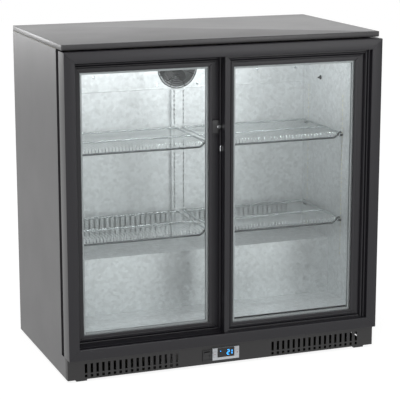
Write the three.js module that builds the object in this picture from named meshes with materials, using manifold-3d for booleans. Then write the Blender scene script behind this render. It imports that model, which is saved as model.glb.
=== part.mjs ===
// Under-counter bottle cooler with two sliding glass doors, built as an assembly of separate pieces.
// Millimetres, +Z up, front towards -Y, origin on the floor under the middle of the cabinet.
import * as THREE from 'three';
import { mergeVertices } from 'three/addons/utils/BufferGeometryUtils.js';
import Module from 'manifold-3d';

const wasm = await Module();
wasm.setup();

// ---------------------------------------------------------------- driving dimensions
const WIDTH = 900;
const DEPTH = 520; // from the frame's face to the back panel
const HEIGHT = 900;
const CLEAR = 0.3; // gap between pieces that touch
const SKIN = 1.0; // outer sheet
const LINER = 0.8; // inner sheet
const WALL = 50; // insulated wall, outer face to inner face
const FLOOR_EXTRA = 5; // the cabin's floor is this much thicker than its walls
const REAR_SPACE = 75; // evaporator space behind the duct cover
const REAR_WALL = 45; // insulated wall behind that space

const WORKTOP_SETBACK = 20; // the frame's face stands this far ahead of the worktop
const WORKTOP_LIP = 15;
const TOP_GAP = 3; // shadow gap between worktop and frame
const FRAME_FACE = 30;
const SIDE_STEP = 6; // the frame's visible side ends this far ahead of its rear web
const NECK = 22; // recessed neck between frame and side panels
const NECK_INSET = 9;
const FRAME_BOTTOM = 64;
const LIP_THICK = 6.5;
const LIP_BEVEL = 3;
const WEB = 2;

const LEAF_THICK = 23;
const TRACK_GAP = 3; // from the front leaf's back to the rear leaf's face
const CHANNEL_SLACK = 1; // from the rear leaf's back to the channel's rear web
const LEAF_SETBACK = 8; // front leaf's face behind the frame's face
const LEAF_OVERLAP = 16; // the two leaves overlap by this at the middle
const JAMB_ENTRY = 4; // how far a leaf's edge stands inside the jamb's channel
const TRACK_RIB = 1.6;
const SILL_FLOOR = 16; // track floor above the frame's underside
const HEAD_ROOF = 12; // head channel's roof below the frame's top
const LEAF_LIFT = 8; // free height above a leaf
const LEAF_RUN = 4; // free height under a leaf
const STILE_NARROW = 26;
const STILE_WIDE = 51;
const RAIL_LOW = 36;
const RAIL_HIGH = 38;
const PULL_WIDTH = 21;
const PULL_DEPTH = 11;
const PULL_FROM_GLASS = 9;
const PANE = 4;
const PANE_SPACE = 8;
const GLASS_RECESS = 3.5;
const GLASS_COVER = 8; // the profiles cover the glass edge by this
const SPACER_WIDTH = 14;
const SPACER_VENT = 4;
const SPACER_VENT_FROM_EDGE = 40;
const SEAL_THICK = 2.4;
const SEAL_WIDTH = 12;
const SEAL_INSET = 3;
const ROLLER_R = 9;
const ROLLER_WIDTH = 6;
const ROLLER_BORE_R = 2;
const ROLLER_INSET = 60;

const LOCK_FROM_TOP = 238; // below the worktop's face
const LOCK_R = 9.5;
const LOCK_FROM_EDGE = 23; // lock axis from the rear leaf's meeting edge
const PLUG_R = 4.5;
const LOCK_DEPTH = 14;

const KICK_BOTTOM = 6;
const KICK_RETURN = 18;
const SLOT_MARGIN = 45; // plain part at each end of the row
const SLOT_PITCH = 16.1;
const SLOT_FIRST = 141.5; // first slot from the middle
const SLOT_WIDTH = 7;
const TALL_SLOT = 26;
const SHORT_SLOT = 7.5;
const SLOT_TOP = 48.5;
const SLOT_BRIDGE = 4;

const CONTROL_WIDTH = 78;
const CONTROL_HEIGHT = 34;
const CONTROL_Z = 33;
const CONTROL_DEPTH = 55;
const BEZEL_THICK = 4;
const WINDOW_WIDTH = 50;
const WINDOW_HEIGHT = 27;
const KEY_WIDTH = 8;
const KEY_HEIGHT = 16;
const KEY_TRAVEL = 1;
const SWITCH_X = -54.5;
const SWITCH_WIDTH = 25.5;
const SWITCH_HEIGHT = 31;
const SWITCH_Z = 31;
const ROCKER_TILT = 8; // degrees that the rocker leans at rest
const CUTOUT_MARGIN = 7; // the bezel is larger than its opening by this
const SWITCH_MARGIN = 4;
const KEY_X = (CONTROL_WIDTH + WINDOW_WIDTH) / 4 + 1;
const KEY_DEPTH = 2.5;
const WINDOW_DEPTH = 2;

const MACHINE_TOP = 232;
const STEP_FLOOR = 48; // thickness of the cabin's raised floor over the machine space
const STEP_DEPTH = 185; // from the raised floor's front edge to the duct cover
const MACHINE_SIDE = 10; // insulation left beside the machine space

const RAIL_SLOT_PITCH = 13;
const RAIL_SLOT_TOP_MARGIN = 140; // plain lining above the slots
const RAIL_SLOT_DIP = 32; // the slots start this far below the raised floor
const RAIL_SLOT_HEIGHT = 7;
const SLOT_RAIL_FROM_SHELF = 5; // front column of slots behind the shelf's front rod
const SLOT_RAIL_FROM_COVER = 35; // rear column of slots ahead of the duct cover
const RAIL_SLOT_WIDTH = 3.5;
const POST_WIDTH = 44;
const POST_DEPTH = 11;
const POST_COLUMN = 14; // slot column from the post's middle
const FRONT_POST = 24;
const POST_SKIN = 1.5;

const LOWER_SHELF_RISE = 79; // the lower shelf's wires above the raised floor
const UPPER_SHELF_DROP = 244; // the upper shelf's wires below the ceiling
const SHELF_FROM_COVER = 19;
const SHELF_FROM_DOOR = 75;
const SHELF_MIDDLE_AHEAD = 14.5; // the middle rod stands this far ahead of half way
const SHELF_GAP = 15; // between the left and right shelf of a pair
const SHELF_SIDE_GAP = 2.5;
const SHELF_DROP = 15; // the front rod hangs this far below the wires
const ROD = 6;
const WIRE = 3;
const WIRE_PITCH = 26;

const BAND_TALL = 33;
const BAND_SHORT = 10;
const BAND_SLOT = 5;
const BAND_PITCH = 15.5;
const BAND_MARGIN = 45; // plain part at each end of the row
const BAND_FIRST = 38;
const BAND_TALL_RISE = 38;
const BAND_SHORT_RISE = 20;
const FAN_DROP = 76; // fan's axis below the ceiling
const FAN_HOLE_R = 56;
const FAN_R = 51;
const HUB_R = 17;
const BLADE_COUNT = 5;
const GRILLE_R = 60;

const BACK_Y = DEPTH / 2;
const FRONT_Y = -DEPTH / 2;
const HALF = WIDTH / 2;
const FRAME_TOP = HEIGHT - WORKTOP_LIP - TOP_GAP;
const WORKTOP_Y = FRONT_Y + WORKTOP_SETBACK;
const TRACK_PITCH = LEAF_THICK + TRACK_GAP;
const CHANNEL_BACK = LEAF_SETBACK + TRACK_PITCH + LEAF_THICK + CHANNEL_SLACK; // from the frame's face
const FRAME_SIDE = CHANNEL_BACK - SIDE_STEP;
const FRAME_DEPTH = FRAME_SIDE + NECK;
const PANEL_Y = FRONT_Y + FRAME_DEPTH;
const CABIN_HALF = HALF - WALL;
const CABIN_TOP = HEIGHT - WALL;
const FLOOR_Z = FRAME_BOTTOM + WALL + FLOOR_EXTRA;
const LINER_BACK_Y = BACK_Y - REAR_WALL;
const COVER_Y = LINER_BACK_Y - REAR_SPACE;
const LINER_FRONT_Y = FRONT_Y + CHANNEL_BACK + WEB + CLEAR;
const LEAF_WIDTH = HALF - FRAME_FACE + JAMB_ENTRY + LEAF_OVERLAP / 2;
const LEAF_BOTTOM = FRAME_BOTTOM + SILL_FLOOR + LEAF_RUN;
const LEAF_TOP = FRAME_TOP - HEAD_ROOF - LEAF_LIFT;
const LEFT_LEAF_X = -(HALF - FRAME_FACE + JAMB_ENTRY);
const RIGHT_LEAF_X = -LEFT_LEAF_X - LEAF_WIDTH;
const FRONT_TRACK_Y = FRONT_Y + LEAF_SETBACK;
const REAR_TRACK_Y = FRONT_TRACK_Y + TRACK_PITCH;
const DOOR_BACK_Y = REAR_TRACK_Y + LEAF_THICK;
const STEP_TOP = MACHINE_TOP + STEP_FLOOR;
const STEP_FRONT_Y = COVER_Y - STEP_DEPTH;
const MACHINE_FRONT_Y = STEP_FRONT_Y + WALL;
const SHELF_PLANES = [STEP_TOP + LOWER_SHELF_RISE, CABIN_TOP - UPPER_SHELF_DROP];
const SHELF_BACK_Y = COVER_Y - SHELF_FROM_COVER;
const SHELF_FRONT_Y = DOOR_BACK_Y + SHELF_FROM_DOOR;
const SHELF_MIDDLE_Y = (SHELF_BACK_Y + SHELF_FRONT_Y) / 2 - SHELF_MIDDLE_AHEAD;
const SLOT_RAIL_FRONT_Y = SHELF_FRONT_Y + SLOT_RAIL_FROM_SHELF;
const SLOT_RAIL_REAR_Y = COVER_Y - SLOT_RAIL_FROM_COVER;
const RAIL_SLOT_FIRST_Z = STEP_TOP - RAIL_SLOT_DIP;
const FAN_Z = CABIN_TOP - FAN_DROP;
const LOCK_Z = HEIGHT - LOCK_FROM_TOP;

// How many holes of a row fit between its first hole and its plain end.
const countFitting = (length, pitch) => 1 + Math.floor(length / pitch);
const SLOT_COUNT = countFitting(HALF - SLOT_MARGIN - SLOT_FIRST, SLOT_PITCH);
const BAND_COUNT = countFitting(CABIN_HALF - BAND_MARGIN - BAND_FIRST, BAND_PITCH);
const RAIL_SLOT_COUNT = countFitting(CABIN_TOP - RAIL_SLOT_TOP_MARGIN - RAIL_SLOT_FIRST_Z, RAIL_SLOT_PITCH);

// ---------------------------------------------------------------- finishes
function finish(color, roughness, metalness) {
  return new THREE.MeshStandardMaterial({ color, roughness, metalness });
}

const BLACK_ENAMEL = finish(0x2b2b2e, 0.45, 0.2);
const BLACK_PROFILE = finish(0x232326, 0.4, 0.1);
const GALVANISED = finish(0xc9cdcd, 0.4, 0.8);
const FOAM = finish(0xd9cf9a, 0.9, 0);
const GLASS = finish(0xdfe9e6, 0.05, 0);
const RUBBER = finish(0x151515, 0.8, 0);
const BRIGHT_WIRE = finish(0xe4e6e6, 0.3, 0.7);
const SILVER_PLASTIC = finish(0xb9bcc0, 0.4, 0.3);
const BLACK_PLASTIC = finish(0x141416, 0.3, 0);
const CHROME = finish(0xd8dadd, 0.12, 1);
const ALUMINIUM = finish(0xb4b8ba, 0.35, 0.9);
const LAMP_WHITE = finish(0xf5f7f4, 0.4, 0);
const MACHINE_BLACK = finish(0x1c1d1f, 0.5, 0.3);

const cooler = new THREE.Group();

// ---------------------------------------------------------------- shape helpers
// A box between two corners.
function block([x0, x1], [y0, y1], [z0, z1]) {
  const box = new THREE.BoxGeometry(x1 - x0, y1 - y0, z1 - z0);
  return box.translate((x0 + x1) / 2, (y0 + y1) / 2, (z0 + z1) / 2);
}

function outline(points) {
  return new THREE.Shape(points.map(([a, b]) => new THREE.Vector2(a, b)));
}

// Turns an extrusion to its axis. The outline lies in (y, z) for x, in (x, z) for y and in (x, y) for z;
// for y the outline is pulled towards -y.
const ALONG = {
  x: new THREE.Matrix4().set(0, 0, 1, 0, 1, 0, 0, 0, 0, 1, 0, 0, 0, 0, 0, 1),
  y: new THREE.Matrix4().set(1, 0, 0, 0, 0, 0, -1, 0, 0, 1, 0, 0, 0, 0, 0, 1),
  z: new THREE.Matrix4(),
};

// A bar of constant section between two places on an axis.
function bar(points, axis, from, to) {
  const solid = new THREE.ExtrudeGeometry(outline(points), { depth: to - from, bevelEnabled: false });
  solid.translate(0, 0, axis === 'y' ? -to : from);
  return solid.applyMatrix4(ALONG[axis]);
}

// A round rod along an axis, from one place to another.
function rod(axis, radius, from, to, centre, sides = 12) {
  const solid = new THREE.CylinderGeometry(radius, radius, to - from, sides);
  solid.translate(0, (from + to) / 2, 0);
  if (axis === 'x') solid.rotateZ(-Math.PI / 2);
  if (axis === 'z') solid.rotateX(Math.PI / 2);
  return solid.translate(centre[0], centre[1], centre[2]);
}

function toSolid(geometry) {
  const plain = geometry.clone();
  plain.deleteAttribute('normal');
  plain.deleteAttribute('uv');
  const merged = mergeVertices(plain, 1e-4);
  const vertProperties = new Float32Array(merged.attributes.position.array);
  const triVerts = new Uint32Array(merged.index.array);
  return new wasm.Manifold(new wasm.Mesh({ numProp: 3, vertProperties, triVerts }));
}

function fromSolid(solid) {
  const mesh = solid.getMesh();
  const geometry = new THREE.BufferGeometry();
  geometry.setAttribute('position', new THREE.BufferAttribute(new Float32Array(mesh.vertProperties), 3));
  geometry.setIndex(new THREE.BufferAttribute(new Uint32Array(mesh.triVerts), 1));
  geometry.computeVertexNormals();
  return geometry;
}

function join(first, ...rest) {
  return fromSolid(rest.reduce((sum, part) => sum.add(toSolid(part)), toSolid(first)));
}

function cut(first, ...rest) {
  return fromSolid(rest.reduce((left, part) => left.subtract(toSolid(part)), toSolid(first)));
}

function common(first, second) {
  return fromSolid(toSolid(first).intersect(toSolid(second)));
}

// Adds one named piece to the cooler.
function add(name, geometry, material) {
  const mesh = new THREE.Mesh(geometry, material);
  mesh.name = name;
  cooler.add(mesh);
  return mesh;
}

const mirrorPoints = (points) => points.map(([a, b]) => [-a, b]).reverse();

// ---------------------------------------------------------------- outer cabinet
function worktop() {
  const outer = block([-HALF, HALF], [WORKTOP_Y, BACK_Y], [HEIGHT - WORKTOP_LIP, HEIGHT]);
  const hollow = block(
    [-HALF + SKIN, HALF - SKIN],
    [WORKTOP_Y + SKIN, BACK_Y - SKIN],
    [HEIGHT - WORKTOP_LIP - SKIN, HEIGHT - SKIN],
  );
  add('worktop', cut(outer, hollow), BLACK_ENAMEL);
}

const PANEL_TOP = HEIGHT - WORKTOP_LIP - CLEAR;
const PANEL_BOTTOM = KICK_BOTTOM;
const PANEL_FOOT_Y = WORKTOP_Y + KICK_RETURN + CLEAR;
const PANEL_FLANGE = 20;

// One side panel: a tall channel-shaped sheet, with a foot that runs forward under the frame.
function sidePanel(name, side) {
  const channel = (frontY) => [
    [-HALF, frontY],
    [-HALF + PANEL_FLANGE, frontY],
    [-HALF + PANEL_FLANGE, frontY + SKIN],
    [-HALF + SKIN, frontY + SKIN],
    [-HALF + SKIN, BACK_Y - SKIN],
    [-HALF + PANEL_FLANGE, BACK_Y - SKIN],
    [-HALF + PANEL_FLANGE, BACK_Y],
    [-HALF, BACK_Y],
  ];
  const place = side < 0 ? (points) => points : mirrorPoints;
  const upper = bar(place(channel(PANEL_Y)), 'z', FRAME_BOTTOM - CLEAR, PANEL_TOP);
  const foot = bar(place(channel(PANEL_FOOT_Y)), 'z', PANEL_BOTTOM, FRAME_BOTTOM - CLEAR);
  add(name, join(upper, foot), BLACK_ENAMEL);
}

const VENT_COUNT = 9;
const VENT_PITCH = 20;
const VENT_HEIGHT = 8;
const VENT_MARGIN = 260; // plain sheet at each end of the air slots
const VENT_HALF = HALF - VENT_MARGIN;
const VENT_FIRST_Z = 40;
const INLET_FROM_SIDE = 150;
const INLET_X = INLET_FROM_SIDE - HALF;
const INLET_Z = 60;
const INLET_WIDTH = 28;
const INLET_HEIGHT = 21;

// Flat rear sheet with the machine space's air slots and the mains inlet's hole.
function backPanel() {
  const edge = HALF - PANEL_FLANGE - CLEAR;
  let sheet = block([-edge, edge], [BACK_Y - SKIN, BACK_Y], [PANEL_BOTTOM, PANEL_TOP]);
  const slots = [];
  for (let i = 0; i < VENT_COUNT; i += 1) {
    const z = VENT_FIRST_Z + i * VENT_PITCH;
    slots.push(block([-VENT_HALF, VENT_HALF], [BACK_Y - 2 * SKIN, BACK_Y + SKIN], [z, z + VENT_HEIGHT]));
  }
  const inlet = block(
    [INLET_X - INLET_WIDTH / 2, INLET_X + INLET_WIDTH / 2],
    [BACK_Y - 2 * SKIN, BACK_Y + SKIN],
    [INLET_Z - INLET_HEIGHT / 2, INLET_Z + INLET_HEIGHT / 2],
  );
  sheet = cut(sheet, ...slots, inlet);
  add('back_panel', sheet, BLACK_ENAMEL);
}

const INLET_BORDER = 3;
const INLET_DEPTH = 24;
const PIN_SPACE = 3;

// Mains inlet socket: a flanged body with a hollow mouth.
function mainsInlet() {
  const w = INLET_WIDTH / 2 - CLEAR;
  const h = INLET_HEIGHT / 2 - CLEAR;
  const rearFace = BACK_Y - SKIN - CLEAR;
  const body = block([INLET_X - w, INLET_X + w], [BACK_Y - INLET_DEPTH, BACK_Y], [INLET_Z - h, INLET_Z + h]);
  const rim = block(
    [INLET_X - w - INLET_BORDER, INLET_X + w + INLET_BORDER],
    [rearFace - 2, rearFace],
    [INLET_Z - h - INLET_BORDER, INLET_Z + h + INLET_BORDER],
  );
  const mouth = block(
    [INLET_X - w + PIN_SPACE, INLET_X + w - PIN_SPACE],
    [BACK_Y - INLET_DEPTH + 6, BACK_Y + 1],
    [INLET_Z - h + PIN_SPACE, INLET_Z + h - PIN_SPACE],
  );
  add('mains_inlet', cut(join(body, rim), mouth), BLACK_PLASTIC);
}

const TRAY_TOP = KICK_BOTTOM - CLEAR;
const TRAY_THICK = 1.5;
const SKID_WIDTH = 30;
const SKID_INSET = 20;
const TRAY_SETBACK = 5;

// Base tray with two skids that the cabinet stands on.
function baseTray() {
  const edge = HALF - TRAY_SETBACK;
  const span = [WORKTOP_Y + TRAY_SETBACK, BACK_Y - TRAY_SETBACK];
  const plate = block([-edge, edge], span, [TRAY_TOP - TRAY_THICK, TRAY_TOP]);
  const skids = [-1, 1].map((side) => {
    const inner = side * (edge - SKID_INSET - SKID_WIDTH);
    const outer = side * (edge - SKID_INSET);
    return block([Math.min(inner, outer), Math.max(inner, outer)], span, [0, TRAY_TOP]);
  });
  add('base_tray', join(plate, ...skids), MACHINE_BLACK);
}

// Foam around the cabin in a left and a right half, with the machine space and evaporator space open.
function insulation() {
  const side = HALF - SKIN - CLEAR;
  const front = PANEL_Y + SKIN + CLEAR;
  const back = BACK_Y - SKIN - CLEAR;
  const bottom = FRAME_BOTTOM + 2;
  const body = block([-side, side], [front, back], [bottom, HEIGHT - WORKTOP_LIP + 2]);
  const cap = block(
    [-side + CLEAR, side - CLEAR],
    [WORKTOP_Y + SKIN + CLEAR, back],
    [HEIGHT - WORKTOP_LIP + CLEAR, HEIGHT - SKIN - CLEAR],
  );
  const skin = LINER + CLEAR;
  const cabin = bar(
    [
      [front - WALL, FLOOR_Z - skin],
      [STEP_FRONT_Y + CLEAR, FLOOR_Z - skin],
      [STEP_FRONT_Y + CLEAR, STEP_TOP - skin],
      [LINER_BACK_Y + skin, STEP_TOP - skin],
      [LINER_BACK_Y + skin, CABIN_TOP + skin],
      [front - WALL, CABIN_TOP + skin],
    ],
    'x',
    -CABIN_HALF - skin,
    CABIN_HALF + skin,
  );
  const machine = block(
    [-HALF + MACHINE_SIDE, HALF - MACHINE_SIDE],
    [MACHINE_FRONT_Y, BACK_Y + WALL],
    [0, MACHINE_TOP],
  );
  const flangeX = HALF - PANEL_FLANGE - CLEAR;
  const rearRelief = [-1, 1].map((s) => {
    const [a, b] = [s * flangeX, s * HALF];
    return block([Math.min(a, b), Math.max(a, b)], [back - CLEAR, BACK_Y], [0, HEIGHT - WORKTOP_LIP]);
  });
  const whole = cut(join(body, cap), cabin, machine, ...rearRelief);
  const leftHalf = block([-HALF, -CLEAR / 2], [FRONT_Y, BACK_Y], [0, HEIGHT]);
  const left = common(whole, leftHalf);
  add('insulation_left', left, FOAM);
  add('insulation_right', fromSolid(toSolid(left).mirror([1, 0, 0])), FOAM);
}

// ---------------------------------------------------------------- cabin lining
function railSlots(x0, x1) {
  const slots = [];
  for (const y of [SLOT_RAIL_FRONT_Y, SLOT_RAIL_REAR_Y]) {
    for (let i = 0; i < RAIL_SLOT_COUNT; i += 1) {
      const z = RAIL_SLOT_FIRST_Z + i * RAIL_SLOT_PITCH;
      const half = RAIL_SLOT_WIDTH / 2;
      const hidden = y + half > STEP_FRONT_Y && z < STEP_TOP + RAIL_SLOT_HEIGHT;
      if (!hidden) slots.push(block([x0, x1], [y - half, y + half], [z, z + RAIL_SLOT_HEIGHT]));
    }
  }
  return slots;
}

// Side lining: one flat sheet with the step's outline and two columns of shelf slots.
function sideLiner(name, side) {
  const gap = LINER + CLEAR;
  const sheetOutline = [
    [LINER_FRONT_Y, FLOOR_Z + CLEAR],
    [STEP_FRONT_Y - gap, FLOOR_Z + CLEAR],
    [STEP_FRONT_Y - gap, STEP_TOP + CLEAR],
    [LINER_BACK_Y - CLEAR, STEP_TOP + CLEAR],
    [LINER_BACK_Y - CLEAR, CABIN_TOP - CLEAR],
    [LINER_FRONT_Y, CABIN_TOP - CLEAR],
  ];
  const inner = side * CABIN_HALF;
  const outer = side * (CABIN_HALF + LINER);
  const [x0, x1] = [Math.min(inner, outer), Math.max(inner, outer)];
  add(name, cut(bar(sheetOutline, 'x', x0, x1), ...railSlots(x0 - SKIN, x1 + SKIN)), GALVANISED);
}

// Folded sheets along the cabin's width: the outline is the fold line, offset by the sheet.
function foldedLiners() {
  const floorOutline = [
    [LINER_FRONT_Y, FLOOR_Z - LINER],
    [STEP_FRONT_Y, FLOOR_Z - LINER],
    [STEP_FRONT_Y, STEP_TOP - LINER],
    [LINER_BACK_Y, STEP_TOP - LINER],
    [LINER_BACK_Y, STEP_TOP],
    [STEP_FRONT_Y - LINER, STEP_TOP],
    [STEP_FRONT_Y - LINER, FLOOR_Z],
    [LINER_FRONT_Y, FLOOR_Z],
  ];
  add('liner_floor', bar(floorOutline, 'x', -CABIN_HALF - LINER, CABIN_HALF + LINER), GALVANISED);
  const backOutline = [
    [LINER_FRONT_Y, CABIN_TOP],
    [LINER_BACK_Y, CABIN_TOP],
    [LINER_BACK_Y, STEP_TOP + CLEAR],
    [LINER_BACK_Y + LINER, STEP_TOP + CLEAR],
    [LINER_BACK_Y + LINER, CABIN_TOP + LINER],
    [LINER_FRONT_Y, CABIN_TOP + LINER],
  ];
  add('liner_back_and_ceiling', bar(backOutline, 'x', -CABIN_HALF - LINER, CABIN_HALF + LINER), GALVANISED);
}

// ---------------------------------------------------------------- air duct, evaporator and fan
function ductCover() {
  const edge = CABIN_HALF - CLEAR;
  const sheet = block([-edge, edge], [COVER_Y, COVER_Y + SKIN], [STEP_TOP + CLEAR, CABIN_TOP - CLEAR]);
  const through = [COVER_Y - SKIN, COVER_Y + 2 * SKIN];
  const tallZ = STEP_TOP + BAND_TALL_RISE;
  const shortZ = STEP_TOP + BAND_SHORT_RISE;
  const holes = [rod('y', FAN_HOLE_R, COVER_Y - SKIN, COVER_Y + 2 * SKIN, [0, 0, FAN_Z], 32)];
  for (const side of [-1, 1]) {
    for (let i = 0; i < BAND_COUNT; i += 1) {
      const x = side * (BAND_FIRST + i * BAND_PITCH);
      const span = [x - BAND_SLOT / 2, x + BAND_SLOT / 2];
      holes.push(block(span, through, [tallZ, tallZ + BAND_TALL]));
      holes.push(block(span, through, [shortZ, shortZ + BAND_SHORT]));
    }
  }
  add('duct_cover', cut(sheet, ...holes), GALVANISED);
}

const COIL_SIDE = 140; // from the coil to the cabin's side walls
const COIL_HALF = CABIN_HALF - COIL_SIDE;
const COIL_DEPTH = 50;
const COIL_FRONT_GAP = 12;
const COIL_DRAIN_GAP = 150; // over the step, for the water that drips off
const COIL_LOW = STEP_TOP + COIL_DRAIN_GAP;
const COIL_FAN_DROP = 134; // from the fan's axis down to the coil
const COIL_HIGH = FAN_Z - COIL_FAN_DROP;
const FIN_COUNT = 9;
const FIN = 2;
const COIL_TUBE_R = 5;
const COIL_ROWS = 3;
const COIL_END = 12; // bare tube beyond the last fin

// Finned coil: flat fins threaded on level tubes.
function finnedCoil([x0, x1], [y0, y1], [z0, z1]) {
  const fins = [];
  for (let i = 0; i < FIN_COUNT; i += 1) {
    const x = x0 + COIL_END + (i * (x1 - x0 - 2 * COIL_END - FIN)) / (FIN_COUNT - 1);
    fins.push(block([x, x + FIN], [y0, y1], [z0, z1]));
  }
  const tubes = [];
  for (let i = 0; i < COIL_ROWS; i += 1) {
    const z = z0 + ((i + 0.5) * (z1 - z0)) / COIL_ROWS;
    tubes.push(rod('x', COIL_TUBE_R, x0, x1, [0, (y0 + y1) / 2, z], 6));
  }
  return join(tubes[0], ...fins, ...tubes.slice(1));
}

const MOTOR_R = 20;
const MOTOR_LENGTH = 34;
const MOTOR_FOOT = 34;
const SHAFT_R = 3;
const SHAFT_LENGTH = 8;
const BLADE_BACK_Y = COVER_Y + 32;
const BLADE_DEPTH = 14;
const BLADE_PITCH = 28;
const BLADE_HALF = 12;
const BLADE_THICK = 1.6;
const BLADE_ROOT = 3; // how deep a blade stands in its hub
const MOTOR_PLATE = 3;

function fanMotor([x, z], bladeBackY, backY) {
  const bodyFront = backY - MOTOR_LENGTH;
  const body = rod('y', MOTOR_R, bodyFront, backY, [x, 0, z], 20);
  const foot = block(
    [x - MOTOR_FOOT, x + MOTOR_FOOT],
    [backY - MOTOR_PLATE, backY],
    [z - MOTOR_FOOT, z + MOTOR_FOOT],
  );
  const shaft = rod('y', SHAFT_R, bladeBackY + CLEAR, bodyFront + 1, [x, 0, z], 10);
  return join(body, foot, shaft);
}

// Axial fan wheel: a hub and flat blades, each set at an angle to the wheel's plane.
function fanWheel(name, [x, z], radius, backY) {
  const hub = rod('y', HUB_R, backY - BLADE_DEPTH, backY, [0, 0, 0], 20);
  const blades = [];
  for (let i = 0; i < BLADE_COUNT; i += 1) {
    const blade = block(
      [-BLADE_HALF, BLADE_HALF],
      [-BLADE_THICK / 2, BLADE_THICK / 2],
      [HUB_R - BLADE_ROOT, radius],
    );
    blade.rotateZ(THREE.MathUtils.degToRad(BLADE_PITCH));
    blade.translate(0, backY - BLADE_DEPTH / 2, 0);
    blade.rotateY((i * 2 * Math.PI) / BLADE_COUNT);
    blades.push(blade);
  }
  const wheel = join(hub, ...blades);
  wheel.translate(x, 0, z);
  add(name, wheel, BLACK_PLASTIC);
}

const GRILLE_THICK = 3;
const GRILLE_RINGS = [24, 40];
const GRILLE_SPOKES = 8;
const GRILLE_BAR = 2.4;
const GRILLE_RIM = 5;
const GRILLE_BOSS_R = 9;

function ring(outer, inner, y0, y1, sides) {
  return cut(rod('y', outer, y0, y1, [0, 0, 0], sides), rod('y', inner, y0 - 1, y1 + 1, [0, 0, 0], sides));
}

function fanGrille() {
  const y1 = COVER_Y - CLEAR;
  const y0 = y1 - GRILLE_THICK;
  const parts = GRILLE_RINGS.map((r) => ring(r + GRILLE_BAR / 2, r - GRILLE_BAR / 2, y0, y1, 12));
  for (let i = 0; i < GRILLE_SPOKES / 2; i += 1) {
    const spoke = block([-GRILLE_R + 1, GRILLE_R - 1], [y0, y1], [-GRILLE_BAR / 2, GRILLE_BAR / 2]);
    spoke.rotateY((i * 2 * Math.PI) / GRILLE_SPOKES);
    parts.push(spoke);
  }
  const boss = rod('y', GRILLE_BOSS_R, y0, y1, [0, 0, 0], 16);
  const grille = join(ring(GRILLE_R, GRILLE_R - GRILLE_RIM, y0, y1, 24), ...parts, boss);
  grille.translate(0, 0, FAN_Z);
  add('fan_grille', grille, BLACK_PLASTIC);
}

// ---------------------------------------------------------------- posts, shelves and lamp
function rearPost() {
  const w = POST_WIDTH / 2;
  const y0 = COVER_Y - CLEAR - POST_DEPTH;
  const y1 = COVER_Y - CLEAR;
  const section = [
    [-w, y0],
    [w, y0],
    [w, y1],
    [w - POST_SKIN, y1],
    [w - POST_SKIN, y0 + POST_SKIN],
    [-w + POST_SKIN, y0 + POST_SKIN],
    [-w + POST_SKIN, y1],
    [-w, y1],
  ];
  const slots = [];
  const topZ = FAN_Z - GRILLE_R - 2;
  for (const x of [-POST_COLUMN, POST_COLUMN]) {
    for (let z = RAIL_SLOT_FIRST_Z + 4 * RAIL_SLOT_PITCH; z + RAIL_SLOT_HEIGHT < topZ; z += RAIL_SLOT_PITCH) {
      const half = RAIL_SLOT_WIDTH / 2;
      slots.push(block([x - half, x + half], [y0 - 1, y0 + POST_SKIN + 1], [z, z + RAIL_SLOT_HEIGHT]));
    }
  }
  add('rear_centre_post', cut(bar(section, 'z', STEP_TOP + CLEAR, topZ), ...slots), GALVANISED);
}

function frontPost() {
  const w = FRONT_POST / 2;
  const y0 = SLOT_RAIL_FRONT_Y - w - ROD;
  const y1 = y0 + POST_SKIN + POST_DEPTH - ROD;
  const section = [
    [-w, y0],
    [w, y0],
    [w, y1],
    [w - POST_SKIN, y1],
    [w - POST_SKIN, y0 + POST_SKIN],
    [-w + POST_SKIN, y0 + POST_SKIN],
    [-w + POST_SKIN, y1],
    [-w, y1],
  ];
  add('front_centre_post', bar(section, 'z', FLOOR_Z + CLEAR, CABIN_TOP - CLEAR), GALVANISED);
}

// One wire shelf: level wires bent down at the front, on a rod frame.
function shelf(name, side, plane) {
  const near = SHELF_GAP / 2;
  const far = CABIN_HALF - SHELF_SIDE_GAP;
  const [x0, x1] = side < 0 ? [-far, -near] : [near, far];
  const top = plane + WIRE / 2;
  const under = plane - WIRE / 2;
  const rodAcross = (y, z) => rod('x', ROD / 2, x0, x1, [0, y, z], 6);
  const rodZ = under - ROD / 2 + 1;
  const parts = [
    rodAcross(SHELF_BACK_Y, rodZ),
    rodAcross(SHELF_MIDDLE_Y, rodZ),
    rodAcross(SHELF_FRONT_Y, plane - SHELF_DROP),
  ];
  const wireOutline = [
    [SHELF_BACK_Y, under],
    [SHELF_BACK_Y, top],
    [SHELF_FRONT_Y - ROD / 2, top],
    [SHELF_FRONT_Y - ROD / 2, plane - SHELF_DROP],
    [SHELF_FRONT_Y - ROD / 2 + WIRE, plane - SHELF_DROP],
    [SHELF_FRONT_Y - ROD / 2 + WIRE, under],
  ].reverse();
  const count = Math.floor((x1 - x0 - ROD) / WIRE_PITCH);
  const first = (x0 + x1 - count * WIRE_PITCH) / 2;
  for (let i = 0; i <= count; i += 1) {
    const x = first + i * WIRE_PITCH;
    parts.push(bar(wireOutline, 'x', x - WIRE / 2, x + WIRE / 2));
  }
  add(name, join(parts[0], ...parts.slice(1)), BRIGHT_WIRE);
}

const LAMP_SIDE = 70; // from the lamp to the side walls
const LAMP_HALF = CABIN_HALF - LAMP_SIDE;
const LAMP_DEPTH = 16;
const LAMP_DROP = 10;
const LAMP_EDGE = 6; // height of the lamp's sides
const LAMP_RIDGE = 5.6; // lowest line of the lamp behind its front side
const LAMP_BEHIND_DOORS = 27;
const LAMP_Y = DOOR_BACK_Y + LAMP_BEHIND_DOORS;

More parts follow.
